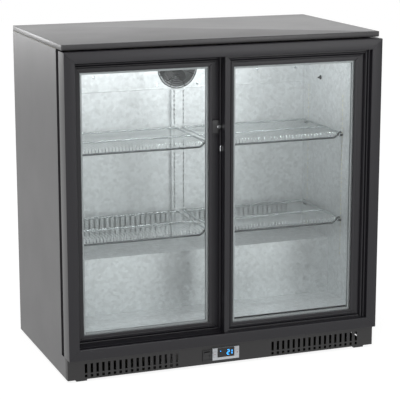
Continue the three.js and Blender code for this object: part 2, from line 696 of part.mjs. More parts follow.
function cabinLamp() {
  const z1 = CABIN_TOP - CLEAR;
  const section = [
    [LAMP_Y, z1 - LAMP_EDGE],
    [LAMP_Y + LAMP_RIDGE, z1 - LAMP_DROP],
    [LAMP_Y + LAMP_DEPTH, z1 - LAMP_EDGE],
    [LAMP_Y + LAMP_DEPTH, z1],
    [LAMP_Y, z1],
  ];
  add('cabin_lamp', bar(section, 'x', -LAMP_HALF, LAMP_HALF), LAMP_WHITE);
}

// ---------------------------------------------------------------- door frame
const EDGE_CHAMFER = 2;
const RIB_SHORT = 4; // the track rib ends this far below the lip
const RIB_FRONT = LEAF_SETBACK + (TRACK_PITCH + LEAF_THICK - TRACK_RIB) / 2;

// Section of a frame member: s runs inward from its outer side, t runs back from its face.
function frameSection(channelFloor, webReach, ribbed) {
  const rib = ribbed
    ? [
        [channelFloor, RIB_FRONT],
        [FRAME_FACE - RIB_SHORT, RIB_FRONT],
        [FRAME_FACE - RIB_SHORT, RIB_FRONT + TRACK_RIB],
        [channelFloor, RIB_FRONT + TRACK_RIB],
      ]
    : [];
  return [
    [EDGE_CHAMFER, 0],
    [FRAME_FACE - LIP_BEVEL, 0],
    [FRAME_FACE, LIP_BEVEL],
    [FRAME_FACE, LIP_THICK],
    [channelFloor, LIP_THICK],
    ...rib,
    [channelFloor, CHANNEL_BACK + WEB],
    [webReach, CHANNEL_BACK + WEB],
    [webReach, FRAME_DEPTH - CLEAR],
    [NECK_INSET, FRAME_DEPTH - CLEAR],
    [NECK_INSET, FRAME_SIDE],
    [0, FRAME_SIDE],
    [0, EDGE_CHAMFER],
  ];
}

// Trapezoid that gives a frame member its two 45 degree mitres, seen from the front.
function mitreBlock(edge) {
  const reach = FRAME_FACE + WALL;
  const [x1, z0, z1] = [HALF, FRAME_BOTTOM, FRAME_TOP];
  const c = CLEAR / 2;
  const headLeft = [[-x1 + c, z1 + 1], [-x1 + c, z1], [-x1 + reach + c, z1 - reach]];
  const sillLeft = [[-x1 + reach + c, z0 + reach], [-x1 + c, z0], [-x1 + c, z0 - 1]];
  const jambLow = [[-x1 - 1, z0 + c], [-x1, z0 + c], [-x1 + reach, z0 + reach + c]];
  const jambHigh = [[-x1 + reach, z1 - reach - c], [-x1, z1 - c], [-x1 - 1, z1 - c]];
  const corners = {
    head: [...headLeft, ...mirrorPoints(headLeft)],
    sill: [...sillLeft, ...mirrorPoints(sillLeft)],
    left: [...jambLow, ...jambHigh],
  };
  return bar(corners[edge], 'y', FRONT_Y - 1, PANEL_Y + 1);
}

function frame() {
  const jamb = frameSection(FRAME_FACE - JAMB_ENTRY - 1, WALL - LINER - CLEAR, false);
  const jambBar = bar(
    jamb.map(([s, t]) => [-HALF + s, FRONT_Y + t]),
    'z',
    FRAME_BOTTOM,
    FRAME_TOP,
  );
  const left = common(jambBar, mitreBlock('left'));
  const webTrim = webClearance();
  const leftJamb = cut(left, ...webTrim);
  add('frame_jamb_left', leftJamb, BLACK_PROFILE);
  add('frame_jamb_right', fromSolid(toSolid(leftJamb).mirror([1, 0, 0])), BLACK_PROFILE);

  const head = frameSection(HEAD_ROOF, FRAME_TOP - CABIN_TOP - LINER - CLEAR, true);
  const headBar = bar(head.map(([s, t]) => [FRONT_Y + t, FRAME_TOP - s]).reverse(), 'x', -HALF, HALF);
  add('frame_head', common(headBar, mitreBlock('head')), BLACK_PROFILE);

  const sill = frameSection(SILL_FLOOR, FLOOR_Z - LINER - CLEAR - FRAME_BOTTOM, true);
  const sillBar = bar(sill.map(([s, t]) => [FRONT_Y + t, FRAME_BOTTOM + s]), 'x', -HALF, HALF);
  add('frame_sill', common(sillBar, mitreBlock('sill')), BLACK_PROFILE);
}

// Trims a jamb's rear web where the head's and sill's webs pass.
function webClearance() {
  const far = -CABIN_HALF + 1;
  const near = -HALF + FRAME_FACE;
  const depth = [FRONT_Y + CHANNEL_BACK, PANEL_Y + 1];
  const low = block([near, far], depth, [FRAME_BOTTOM, FRAME_BOTTOM + FRAME_FACE + CLEAR]);
  const high = block([near, far], depth, [CABIN_TOP, FRAME_TOP]);
  return [low, high];
}

// ---------------------------------------------------------------- sliding leaves
// Section of a leaf member: a runs inward from its outer edge, b runs back from the leaf's face.
function leafSection(width, pull) {
  const seat = GLASS_RECESS;
  const unit = PANE * 2 + PANE_SPACE + 4 * CLEAR;
  const groove = width - GLASS_COVER - CLEAR;
  const recess = pull
    ? [
        [width - PULL_FROM_GLASS - PULL_WIDTH, 0],
        [width - PULL_FROM_GLASS - PULL_WIDTH, PULL_DEPTH],
        [width - PULL_FROM_GLASS, PULL_DEPTH],
        [width - PULL_FROM_GLASS, 0],
      ]
    : [];
  return [
    [0, 0],
    ...recess,
    [width, 0],
    [width, seat],
    [groove, seat],
    [groove, seat + unit],
    [width, seat + unit],
    [width, LEAF_THICK],
    [0, LEAF_THICK],
  ];
}

// Trapezoids that mitre the leaf's members at its four corners, seen from the front.
function leafMitre(edge, x0, low, high) {
  const x1 = x0 + LEAF_WIDTH;
  const [z0, z1] = [LEAF_BOTTOM, LEAF_TOP];
  const c = CLEAR / 2;
  const a = [x0 + low.left, z0 + low.z];
  const b = [x1 - low.right, z0 + low.z];
  const d = [x1 - high.right, z1 - high.z];
  const e = [x0 + high.left, z1 - high.z];
  const corners = {
    bottom: [[x0 + c, z0], [x1 - c, z0], [b[0] - c, b[1]], [a[0] + c, a[1]]],
    right: [[x1, z0 + c], [x1, z1 - c], [d[0], d[1] - c], [b[0], b[1] + c]],
    top: [[x1 - c, z1], [x0 + c, z1], [e[0] + c, e[1]], [d[0] - c, d[1]]],
    left: [[x0, z1 - c], [x0, z0 + c], [a[0], a[1] + c], [e[0], e[1] - c]],
  };
  return corners[edge];
}

function leafMembers(prefix, x0, y0) {
  const low = { left: STILE_NARROW, right: STILE_WIDE, z: RAIL_LOW };
  const high = { left: STILE_NARROW, right: STILE_WIDE, z: RAIL_HIGH };
  const cutTo = (geometry, edge) =>
    common(geometry, bar(leafMitre(edge, x0, low, high), 'y', y0 - 1, y0 + LEAF_THICK + 1));
  const x1 = x0 + LEAF_WIDTH;
  const upright = (section, place) => bar(section.map(place), 'z', LEAF_BOTTOM, LEAF_TOP);
  const across = (section, place) => bar(section.map(place), 'x', x0, x1);

  const narrow = upright(leafSection(STILE_NARROW, false), ([a, b]) => [x0 + a, y0 + b]);
  add(`${prefix}_left_stile`, cutTo(narrow, 'left'), BLACK_PROFILE);

  const wideSection = leafSection(STILE_WIDE, true).reverse();
  let wide = cutTo(upright(wideSection, ([a, b]) => [x1 - a, y0 + b]), 'right');
  if (prefix === 'left_door') wide = cut(join(wide, lockBoss(x1, y0)), lockHole(x1, y0));
  add(`${prefix}_right_stile`, wide, BLACK_PROFILE);

  const topSection = leafSection(RAIL_HIGH, false).reverse();
  const top = across(topSection, ([a, b]) => [y0 + b, LEAF_TOP - a]);
  add(`${prefix}_top_rail`, cutTo(top, 'top'), BLACK_PROFILE);

  const bottom = across(leafSection(RAIL_LOW, false), ([a, b]) => [y0 + b, LEAF_BOTTOM + a]);
  const pockets = rollerPlaces(x0).map((x) => rollerPocket(x, y0));
  add(`${prefix}_bottom_rail`, cut(cutTo(bottom, 'bottom'), ...pockets), BLACK_PROFILE);
}

const rollerPlaces = (x0) => [x0 + ROLLER_INSET, x0 + LEAF_WIDTH - ROLLER_INSET];
const ROLLER_Z = FRAME_BOTTOM + SILL_FLOOR + CLEAR + ROLLER_R;

function rollerPocket(x, y0) {
  const reach = ROLLER_R + 2;
  const half = ROLLER_WIDTH / 2 + 1;
  const middle = y0 + LEAF_THICK / 2;
  return block([x - reach, x + reach], [middle - half, middle + half], [LEAF_BOTTOM - 1, ROLLER_Z + reach]);
}

function leafRollers(prefix, x0, y0) {
  const middle = y0 + LEAF_THICK / 2;
  const half = ROLLER_WIDTH / 2;
  rollerPlaces(x0).forEach((x, i) => {
    const wheel = rod('y', ROLLER_R, middle - half, middle + half, [x, 0, ROLLER_Z], 24);
    const bore = rod('y', ROLLER_BORE_R, middle - half - 1, middle + half + 1, [x, 0, ROLLER_Z], 12);
    add(`${prefix}_roller_${i === 0 ? 'left' : 'right'}`, cut(wheel, bore), BLACK_PLASTIC);
  });
}

// Double glazing: two panes with a hollow metal spacer between them.
function leafGlass(prefix, x0, y0) {
  const x = [x0 + STILE_NARROW - GLASS_COVER, x0 + LEAF_WIDTH - STILE_WIDE + GLASS_COVER];
  const z = [LEAF_BOTTOM + RAIL_LOW - GLASS_COVER, LEAF_TOP - RAIL_HIGH + GLASS_COVER];
  const face = y0 + GLASS_RECESS + CLEAR;
  const inside = face + PANE + CLEAR;
  const rear = inside + PANE_SPACE + CLEAR;
  add(`${prefix}_outer_pane`, block(x, [face, face + PANE], z), GLASS);
  add(`${prefix}_inner_pane`, block(x, [rear, rear + PANE], z), GLASS);
  const solid = block(x, [inside, inside + PANE_SPACE], z);
  const hollow = block(
    [x[0] + SPACER_WIDTH, x[1] - SPACER_WIDTH],
    [inside - 1, inside + PANE_SPACE + 1],
    [z[0] + SPACER_WIDTH, z[1] - SPACER_WIDTH],
  );
  const ventX = x[0] + SPACER_VENT_FROM_EDGE;
  const vent = block(
    [ventX, ventX + SPACER_VENT],
    [inside + PANE_SPACE / 4, inside + (PANE_SPACE * 3) / 4],
    [z[1] - SPACER_WIDTH - 1, z[1] + 1],
  );
  add(`${prefix}_spacer`, cut(solid, hollow, vent), ALUMINIUM);
}

// The rear leaf's seal runs round its back; the front leaf has a brush down its meeting stile.
function leafSeals() {
  const x = [LEFT_LEAF_X + SEAL_INSET, LEFT_LEAF_X + LEAF_WIDTH - SEAL_INSET];
  const z = [LEAF_BOTTOM + SEAL_INSET, LEAF_TOP - SEAL_INSET];
  const back = REAR_TRACK_Y + LEAF_THICK + CLEAR;
  const plate = block(x, [back, back + SEAL_THICK], z);
  const open = block(
    [x[0] + SEAL_WIDTH, x[1] - SEAL_WIDTH],
    [back - 1, back + SEAL_THICK + 1],
    [z[0] + SEAL_WIDTH, z[1] - SEAL_WIDTH],
  );
  add('left_door_seal', cut(plate, open), RUBBER);
  const strip = [RIGHT_LEAF_X + SEAL_INSET, RIGHT_LEAF_X + SEAL_INSET + SEAL_WIDTH];
  const front = FRONT_TRACK_Y + LEAF_THICK + CLEAR;
  const clearRib = FRAME_FACE + 2;
  add(
    'right_door_seal',
    block(strip, [front, front + SEAL_THICK], [FRAME_BOTTOM + clearRib, FRAME_TOP - clearRib]),
    RUBBER,
  );
}

// ---------------------------------------------------------------- lock
const lockX = (leafEdge) => leafEdge - LOCK_FROM_EDGE;

function lockHole(leafEdge, y0) {
  return rod('y', LOCK_R + CLEAR, y0 - 1, y0 + LOCK_DEPTH + CLEAR, [lockX(leafEdge), 0, LOCK_Z], 24);
}

const BOSS_HALF = 16;
const KEYWAY_WIDTH = 1.6;
const KEYWAY_HEIGHT = 6;

// Fills the finger pull where the lock sits.
function lockBoss(leafEdge, y0) {
  const pullStart = leafEdge - STILE_WIDE + PULL_FROM_GLASS;
  return block(
    [pullStart - 1, pullStart + PULL_WIDTH + 1],
    [y0, y0 + PULL_DEPTH + 1],
    [LOCK_Z - BOSS_HALF, LOCK_Z + BOSS_HALF],
  );
}

const PLUG_LENGTH = 10;

function lock() {
  const x = lockX(LEFT_LEAF_X + LEAF_WIDTH);
  const y0 = REAR_TRACK_Y;
  const body = rod('y', LOCK_R, y0 + CLEAR, y0 + LOCK_DEPTH, [x, 0, LOCK_Z], 24);
  const bore = rod('y', PLUG_R + CLEAR, y0 - 1, y0 + PLUG_LENGTH + CLEAR, [x, 0, LOCK_Z], 20);
  add('lock_barrel', cut(body, bore), CHROME);
  const plug = rod('y', PLUG_R, y0 + CLEAR, y0 + PLUG_LENGTH, [x, 0, LOCK_Z], 20);
  const keyway = block(
    [x - KEYWAY_WIDTH / 2, x + KEYWAY_WIDTH / 2],
    [y0 - 1, y0 + PLUG_LENGTH - 3],
    [LOCK_Z - KEYWAY_HEIGHT / 2, LOCK_Z + KEYWAY_HEIGHT / 2],
  );
  add('lock_plug', cut(plug, keyway), CHROME);
}

// ---------------------------------------------------------------- kick plate and controls
function kickPlate() {
  const y0 = WORKTOP_Y;
  const y1 = WORKTOP_Y + KICK_RETURN;
  const section = [
    [-HALF, y0],
    [HALF, y0],
    [HALF, y1],
    [HALF - SKIN, y1],
    [HALF - SKIN, y0 + SKIN],
    [-HALF + SKIN, y0 + SKIN],
    [-HALF + SKIN, y1],
    [-HALF, y1],
  ];
  const through = [y0 - 1, y0 + SKIN + 1];
  const holes = [];
  for (const side of [-1, 1]) {
    for (let i = 0; i < SLOT_COUNT; i += 1) {
      const x = side * (SLOT_FIRST + i * SLOT_PITCH);
      const span = [x - SLOT_WIDTH / 2, x + SLOT_WIDTH / 2];
      const tallLow = SLOT_TOP - TALL_SLOT;
      holes.push(block(span, through, [tallLow, SLOT_TOP]));
      holes.push(block(span, through, [tallLow - SLOT_BRIDGE - SHORT_SLOT, tallLow - SLOT_BRIDGE]));
    }
  }
  const opening = (x, z, w, h) => block([x - w / 2, x + w / 2], through, [z - h / 2, z + h / 2]);
  holes.push(opening(0, CONTROL_Z, CONTROL_WIDTH - CUTOUT_MARGIN, CONTROL_HEIGHT - CUTOUT_MARGIN));
  holes.push(opening(SWITCH_X, SWITCH_Z, SWITCH_WIDTH - SWITCH_MARGIN, SWITCH_HEIGHT - SWITCH_MARGIN));
  add('kick_plate', cut(bar(section, 'z', KICK_BOTTOM, FRAME_BOTTOM - CLEAR), ...holes), BLACK_ENAMEL);
}

// Controller: bezel and case in one body, with pockets for the window and two keys.
function controller() {
  const face = WORKTOP_Y - BEZEL_THICK - CLEAR;
  const back = WORKTOP_Y - CLEAR;
  const bezel = block(
    [-CONTROL_WIDTH / 2, CONTROL_WIDTH / 2],
    [face, back],
    [CONTROL_Z - CONTROL_HEIGHT / 2, CONTROL_Z + CONTROL_HEIGHT / 2],
  );
  const halfW = (CONTROL_WIDTH - CUTOUT_MARGIN) / 2 - CLEAR;
  const halfH = (CONTROL_HEIGHT - CUTOUT_MARGIN) / 2 - CLEAR;
  const body = block(
    [-halfW, halfW],
    [back - 1, back + CONTROL_DEPTH],
    [CONTROL_Z - halfH, CONTROL_Z + halfH],
  );
  const windowTop = CONTROL_Z + CONTROL_HEIGHT / 2;
  const windowLow = windowTop - WINDOW_HEIGHT;
  const windowBack = face + WINDOW_DEPTH;
  const pocket = block(
    [-WINDOW_WIDTH / 2, WINDOW_WIDTH / 2],
    [face - 1, windowBack],
    [windowLow, windowTop + 1],
  );
  const keyPockets = [-1, 1].map((side) =>
    block(
      [side * KEY_X - KEY_WIDTH / 2, side * KEY_X + KEY_WIDTH / 2],
      [face - 1, face + KEY_DEPTH + CLEAR],
      [CONTROL_Z - KEY_HEIGHT / 2, CONTROL_Z + KEY_HEIGHT / 2],
    ),
  );
  add('controller_case', cut(join(bezel, body), pocket, ...keyPockets), SILVER_PLASTIC);
  const glassW = WINDOW_WIDTH / 2 - CLEAR;
  add(
    'controller_window',
    block([-glassW, glassW], [face + CLEAR, windowBack - CLEAR], [windowLow + CLEAR, windowTop - CLEAR]),
    BLACK_PLASTIC,
  );
  for (const [name, side] of [['controller_key_left', -1], ['controller_key_right', 1]]) {
    const w = KEY_WIDTH / 2 - CLEAR;
    const h = KEY_HEIGHT / 2 - CLEAR;
    const key = block(
      [side * KEY_X - w, side * KEY_X + w],
      [face - KEY_TRAVEL, face - KEY_TRAVEL + KEY_DEPTH],
      [CONTROL_Z - h, CONTROL_Z + h],
    );
    add(name, key, SILVER_PLASTIC);
  }
}

const SWITCH_DEPTH = 26;
const SWITCH_RIM = 2;
const SWITCH_WALL = 2;
const SWITCH_WELL = 14;
const ROCKER_PIVOT = 4; // behind the kick plate's face
const ROCKER_FRONT = 7;
const ROCKER_VALLEY = 4.5; // the face's middle ahead of the pivot
const ROCKER_BACK = [2, 6]; // behind the pivot at the ends and at the middle

// Power switch: a hollow case with a rocker that tips about a level axis.
function powerSwitch() {
  const face = WORKTOP_Y - SWITCH_RIM - CLEAR;
  const back = WORKTOP_Y - CLEAR;
  const [w, h] = [SWITCH_WIDTH / 2, SWITCH_HEIGHT / 2];
  const [bw, bh] = [w - SWITCH_MARGIN / 2 - CLEAR, h - SWITCH_MARGIN / 2 - CLEAR];
  const rim = block([SWITCH_X - w, SWITCH_X + w], [face, back], [SWITCH_Z - h, SWITCH_Z + h]);
  const across = (width) => [SWITCH_X - width, SWITCH_X + width];
  const upright = (height) => [SWITCH_Z - height, SWITCH_Z + height];
  const body = block(across(bw), [back - 1, back + SWITCH_DEPTH], upright(bh));
  const well = block(across(bw - SWITCH_WALL), [face - 1, back + SWITCH_WELL], upright(bh - SWITCH_WALL / 2));
  add('power_switch_case', cut(join(rim, body), well), BLACK_PLASTIC);
  const rw = bw - SWITCH_WALL - CLEAR;
  const reach = bh - SWITCH_WALL / 2 - 4 * CLEAR;
  const pivotY = WORKTOP_Y + ROCKER_PIVOT;
  const side = [
    [-ROCKER_FRONT, -reach],
    [ROCKER_BACK[0], -reach],
    [ROCKER_BACK[1], 0],
    [ROCKER_BACK[0], reach],
    [-ROCKER_FRONT, reach],
    [-ROCKER_VALLEY, 0],
  ];
  const rocker = bar(side, 'x', -rw, rw);
  rocker.rotateX(THREE.MathUtils.degToRad(ROCKER_TILT));
  rocker.translate(SWITCH_X, pivotY, SWITCH_Z);
  add('power_switch_rocker', rocker, BLACK_PLASTIC);
}

// ---------------------------------------------------------------- refrigeration machine
const COMPRESSOR_R = 72;
const COMPRESSOR_FROM_SIDE = 200;
const COMPRESSOR_FROM_BACK = 125;
const COMPRESSOR_X = HALF - COMPRESSOR_FROM_SIDE;
const COMPRESSOR_Y = BACK_Y - COMPRESSOR_FROM_BACK;
const COMPRESSOR_HEIGHT = 165;
const COMPRESSOR_LIFT = 12;
const COMPRESSOR_FOOT = 14; // thickness of the foot plate, and how far it stands out
const COMPRESSOR_FOOT_INSET = 8;
const TERMINAL_BOX = { reach: 34, bury: 10, half: 28, low: 60, high: 115 };
// Outline of the welded shell, as shares of its radius and height.
const SHELL_OUTLINE = [
  [0, 0],
  [0.8, 0],
  [1, 0.18],
  [1, 0.48],
  [1.05, 0.5],
  [1, 0.54],
  [0.97, 0.72],
  [0.75, 0.92],
  [0.4, 1],
  [0, 1],
];

function compressor() {
  const r = COMPRESSOR_R;
  const profile = SHELL_OUTLINE.map(([a, b]) => new THREE.Vector2(a * r, b * COMPRESSOR_HEIGHT));
  const shell = new THREE.LatheGeometry(profile, 20);
  shell.rotateX(Math.PI / 2);
  shell.translate(COMPRESSOR_X, COMPRESSOR_Y, TRAY_TOP + CLEAR + COMPRESSOR_LIFT);
  const foot = block(
    [COMPRESSOR_X - r - COMPRESSOR_FOOT, COMPRESSOR_X + r + COMPRESSOR_FOOT],
    [COMPRESSOR_Y - r + COMPRESSOR_FOOT_INSET, COMPRESSOR_Y + r - COMPRESSOR_FOOT_INSET],
    [TRAY_TOP + CLEAR, TRAY_TOP + CLEAR + COMPRESSOR_FOOT],
  );
  const box = block(
    [COMPRESSOR_X - r - TERMINAL_BOX.reach, COMPRESSOR_X - r + TERMINAL_BOX.bury],
    [COMPRESSOR_Y - TERMINAL_BOX.half, COMPRESSOR_Y + TERMINAL_BOX.half],
    [TRAY_TOP + TERMINAL_BOX.low, TRAY_TOP + TERMINAL_BOX.high],
  );
  add('compressor', join(shell, foot, box), MACHINE_BLACK);
}

const CONDENSER_HALF = 110;
const CONDENSER_HEIGHT = 205;
const CONDENSER_SETBACK = 25; // behind the front of the machine space
const CONDENSER_FAN_SIDE = 290; // from the left side to the fan's axis
const CONDENSER_FAN_Z = 118;
const CONDENSER_FRONT_Y = MACHINE_FRONT_Y + CONDENSER_SETBACK;
const CONDENSER_FAN = [CONDENSER_FAN_SIDE - HALF, CONDENSER_FAN_Z];
const CONDENSER_FAN_R = 78;
const CONDENSER_FAN_SETBACK = 120; // behind the condenser's front
const CONDENSER_FAN_BACK_Y = CONDENSER_FRONT_Y + CONDENSER_FAN_SETBACK;
const CONDENSER_MOTOR_REACH = 62;
const STRAP = 4;
const STRAP_CLEAR = 8; // between the fan's blades and the strap
const STRAP_WIDTH = 40;

// The condenser's fan motor hangs on a strap that reaches back from both sides of the coil.
function motorStrap() {
  const [x, z] = CONDENSER_FAN;
  const inner = CONDENSER_FAN_R + STRAP_CLEAR;
  const outer = inner + STRAP;
  const front = CONDENSER_FRONT_Y + COIL_DEPTH / 2;
  const back = CONDENSER_FAN_BACK_Y + CONDENSER_MOTOR_REACH;
  const level = [z - STRAP_WIDTH / 2, z + STRAP_WIDTH / 2];
  const hoop = block([x - outer, x + outer], [front, back], level);
  const inside = block([x - inner, x + inner], [front - 1, back - STRAP], [level[0] - 1, level[1] + 1]);
  return cut(hoop, inside);
}

function machine() {
  compressor();
  const [x] = CONDENSER_FAN;
  const coil = finnedCoil(
    [x - CONDENSER_HALF, x + CONDENSER_HALF],
    [CONDENSER_FRONT_Y, CONDENSER_FRONT_Y + COIL_DEPTH],
    [TRAY_TOP + CLEAR, TRAY_TOP + CONDENSER_HEIGHT],
  );
  const motorBackY = CONDENSER_FAN_BACK_Y + CONDENSER_MOTOR_REACH;
  const motor = fanMotor(CONDENSER_FAN, CONDENSER_FAN_BACK_Y, motorBackY);
  add('condenser', join(coil, motorStrap(), motor), MACHINE_BLACK);
  fanWheel('condenser_fan_wheel', CONDENSER_FAN, CONDENSER_FAN_R, CONDENSER_FAN_BACK_Y);
}

// ---------------------------------------------------------------- assembly
worktop();
sidePanel('left_side_panel', -1);
sidePanel('right_side_panel', 1);
backPanel();
mainsInlet();
baseTray();
insulation();

sideLiner('liner_left', -1);
sideLiner('liner_right', 1);
foldedLiners();

ductCover();
const coilFront = COVER_Y + COIL_FRONT_GAP;
const coilDepths = [coilFront, coilFront + COIL_DEPTH];
const evaporator = finnedCoil([-COIL_HALF, COIL_HALF], coilDepths, [COIL_LOW, COIL_HIGH]);
add('evaporator_coil', evaporator, ALUMINIUM);
add('evaporator_fan_motor', fanMotor([0, FAN_Z], BLADE_BACK_Y, LINER_BACK_Y - CLEAR), MACHINE_BLACK);
fanWheel('evaporator_fan_wheel', [0, FAN_Z], FAN_R, BLADE_BACK_Y);
fanGrille();

rearPost();
frontPost();
SHELF_PLANES.forEach((plane, level) => {
  const height = level === 0 ? 'lower' : 'upper';
  shelf(`${height}_left_shelf`, -1, plane);
  shelf(`${height}_right_shelf`, 1, plane);
});
cabinLamp();

frame();
for (const [prefix, x0, y0] of [
  ['left_door', LEFT_LEAF_X, REAR_TRACK_Y],
  ['right_door', RIGHT_LEAF_X, FRONT_TRACK_Y],
]) {
  leafMembers(prefix, x0, y0);
  leafGlass(prefix, x0, y0);
  leafRollers(prefix, x0, y0);
}
leafSeals();
lock();

kickPlate();
controller();
powerSwitch();
machine();

export default cooler;
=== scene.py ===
"""Looks of an under-counter bottle cooler with two sliding glass doors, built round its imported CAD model."""
import math

import bmesh
import bpy
import numpy as np
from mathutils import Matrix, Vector


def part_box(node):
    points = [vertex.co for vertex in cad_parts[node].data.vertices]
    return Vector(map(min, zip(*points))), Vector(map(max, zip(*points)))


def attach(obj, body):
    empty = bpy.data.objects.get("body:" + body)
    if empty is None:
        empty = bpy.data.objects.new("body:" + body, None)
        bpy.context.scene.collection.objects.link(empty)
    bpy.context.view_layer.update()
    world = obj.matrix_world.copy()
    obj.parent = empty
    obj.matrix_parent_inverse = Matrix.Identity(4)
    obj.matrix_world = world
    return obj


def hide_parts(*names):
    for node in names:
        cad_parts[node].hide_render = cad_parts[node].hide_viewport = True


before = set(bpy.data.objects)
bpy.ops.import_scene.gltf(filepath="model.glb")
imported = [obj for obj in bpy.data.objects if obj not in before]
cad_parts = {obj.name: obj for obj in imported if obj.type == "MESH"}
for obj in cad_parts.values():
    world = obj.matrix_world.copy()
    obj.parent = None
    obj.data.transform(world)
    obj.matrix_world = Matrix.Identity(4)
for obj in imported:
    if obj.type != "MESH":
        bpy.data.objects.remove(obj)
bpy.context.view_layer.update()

bl_info = {
    "name": "Bottle cooler",
    "version": (1, 0, 0),
    "blender": (4, 5, 0),
    "location": "3D View > Sidebar > Cooler",
    "description": "Builds the visible pieces and finishes of an under-counter bottle cooler",
    "category": "Object",
}

MM = 0.001


# ---------------------------------------------------------------- colours and places
def linear(code):
    """An sRGB hex code as a linear RGBA tuple: below 0.04045 a channel is divided by 12.92, above it
    the channel plus 0.055, over 1.055, is raised to 2.4."""
    channels = np.array([int(code[i : i + 2], 16) for i in (1, 3, 5)]) / 255
    low = channels / 12.92
    high = ((channels + 0.055) / 1.055) ** 2.4
    return (*np.where(channels <= 0.04045, low, high).tolist(), 1.0)


def box(name):
    """Lowest and highest corner of a CAD node, as arrays in metres."""
    low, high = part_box(name)
    return np.array(low), np.array(high)


# ---------------------------------------------------------------- sizes and colours that a user would change
def colour(name, description, code):
    """A colour setting, from an sRGB hex code."""
    return bpy.props.FloatVectorProperty(
        name=name, description=description, subtype="COLOR", size=4, min=0, max=1, default=linear(code)
    )


def length(name, description, millimetres):
    """A length setting, given in millimetres and kept in metres."""
    return bpy.props.FloatProperty(
        name=name, description=description, unit="LENGTH", min=0, precision=4, default=millimetres * MM
    )


class CoolerSizes(bpy.types.PropertyGroup):
    """Sizes of the visible detail."""

    fold_radius: length("Fold radius", "Outside radius of the folded sheet edges", 1.6)
    bead_radius: length("Bead radius", "Radius of the raised beads on the door profiles", 2.1)
    bead_depth: length("Groove depth", "Depth of the grooves beside the beads", 4.2)
    shelf_pitch: length("Shelf wire spacing", "Distance between the shelf wires", 9.5)
    shelf_wire: length("Shelf wire", "Diameter of the shelf wires", 2.2)
    shelf_rod: length("Shelf rod", "Diameter of the rods round a shelf", 6)
    grille_pitch: length("Grille spacing", "Distance between the rings of the fan grille", 6)
    spangle: length("Spangle", "Size of the zinc crystals on the cabin sheet", 9)


class CoolerColours(bpy.types.PropertyGroup):
    """Colours of the finishes."""

    coat: colour("Powder coat", "Outer sheet", "#2E2D2F")
    profile: colour("Door profile", "Extruded profiles of the frame and doors", "#1D1C20")
    zinc: colour("Galvanised sheet", "Cabin lining", "#C9CBCC")
    wire: colour("Plated wire", "Shelves", "#B4B8B8")
    silver: colour("Silver plastic", "Thermostat bezel and keys", "#B4B7BB")
    display: colour("Display", "Thermostat digits", "#2FA4FF")


# ---------------------------------------------------------------- surface helpers
def grid_faces(rows, columns, closed):
    """Quads of a grid of points numbered row by row: corner (i, j), (i, j+1), (i+1, j+1), (i+1, j).
    When closed, the last column joins the first."""
    i, j = np.meshgrid(np.arange(rows - 1), np.arange(columns if closed else columns - 1), indexing="ij")
    k = (j + 1) % columns
    quads = np.stack([i * columns + j, i * columns + k, (i + 1) * columns + k, (i + 1) * columns + j], -1)
    return quads.reshape(-1, 4).tolist()


def ring_stack(rings):
    """A closed solid through a stack of rings, each with the same number of points: quads join each ring to
    the next, and the first and last ring are closed by one flat face each. rings is (rings, points, 3)."""
    rings = np.asarray(rings, float)
    count, around = rings.shape[:2]
    last = (count - 1) * around
    caps = [list(range(around))[::-1], list(range(last, last + around))]
    return rings.reshape(-1, 3), grid_faces(count, around, True) + caps


def loop_stack(rings):
    """A ring of constant section, closed both ways: as ring_stack, with the last ring joined to the first."""
    rings = np.asarray(rings, float)
    count, around = rings.shape[:2]
    closed = np.concatenate([rings, rings[:1]])
    faces = np.array(grid_faces(count + 1, around, True)) % (count * around)
    return closed[:count].reshape(-1, 3), faces.tolist()


def combine(*solids):
    """Several solids as one: each solid's face numbers are raised by the count of points before it."""
    points, faces, start = [], [], 0
    for some, quads in solids:
        points.append(some)
        faces += [[n + start for n in face] for face in quads]
        start += len(some)
    return np.concatenate(points), faces


def repeat(solid, offsets):
    """Copies of a solid, each moved by one offset."""
    return combine(*[(solid[0] + np.asarray(offset, float), solid[1]) for offset in offsets])


def axes(origin, u, v, w):
    """A function that puts local points (u, v, w) into the frame: origin + u·U + v·V + w·W."""
    basis = np.array([u, v, w], float)
    return lambda local: np.asarray(local, float) @ basis + np.asarray(origin, float)


def facing_front(origin):
    """Local axes of a piece seen from the front: u to the right, v up, w towards the viewer."""
    return axes(origin, (1, 0, 0), (0, 0, 1), (0, -1, 0))


def level(origin):
    """Local axes of a piece that lies level: the frame's own, from origin."""
    return axes(origin, (1, 0, 0), (0, 1, 0), (0, 0, 1))


def rounded_rectangle(half_u, half_v, radius, steps=5):
    """Outline of a rectangle with quarter-circle corners, anticlockwise: in each corner the centre plus
    radius times (cos a, sin a), with a over that corner's quarter turn."""
    a = np.linspace(0, math.pi / 2, steps)
    turns = (np.arange(4) * math.pi / 2)[:, None] + a
    sign_u, sign_v = np.array([1, -1, -1, 1])[:, None], np.array([1, 1, -1, -1])[:, None]
    u = sign_u * (half_u - radius) + radius * np.cos(turns)
    v = sign_v * (half_v - radius) + radius * np.sin(turns)
    return np.stack([u.ravel(), v.ravel()], -1)


def soft_edge(low, high, radius, steps=4):
    """Insets and heights of a slab's side with rounded edges: inset r(1 - sin a), height low + r(1 - cos a)
    for a quarter turn at the bottom, and the same turned over at the top."""
    a = np.linspace(0, math.pi / 2, steps)
    bottom = np.stack([radius * (1 - np.sin(a)), low + radius * (1 - np.cos(a))], -1)
    top = np.stack([bottom[::-1, 0], low + high - bottom[::-1, 1]], -1)
    return np.concatenate([bottom, top])


def slab(place, half_u, half_v, low, high, corner, edge):
    """A flat plate with rounded corners and rounded edges: the outline drawn in by each inset of soft_edge."""
    rings = []
    for inset, height in soft_edge(low, high, edge):
        outline = rounded_rectangle(half_u - inset, half_v - inset, max(corner - inset, edge * 0.2))
        rings.append(np.column_stack([outline, np.full(len(outline), height)]))
    points, faces = ring_stack(rings)
    return place(points), faces


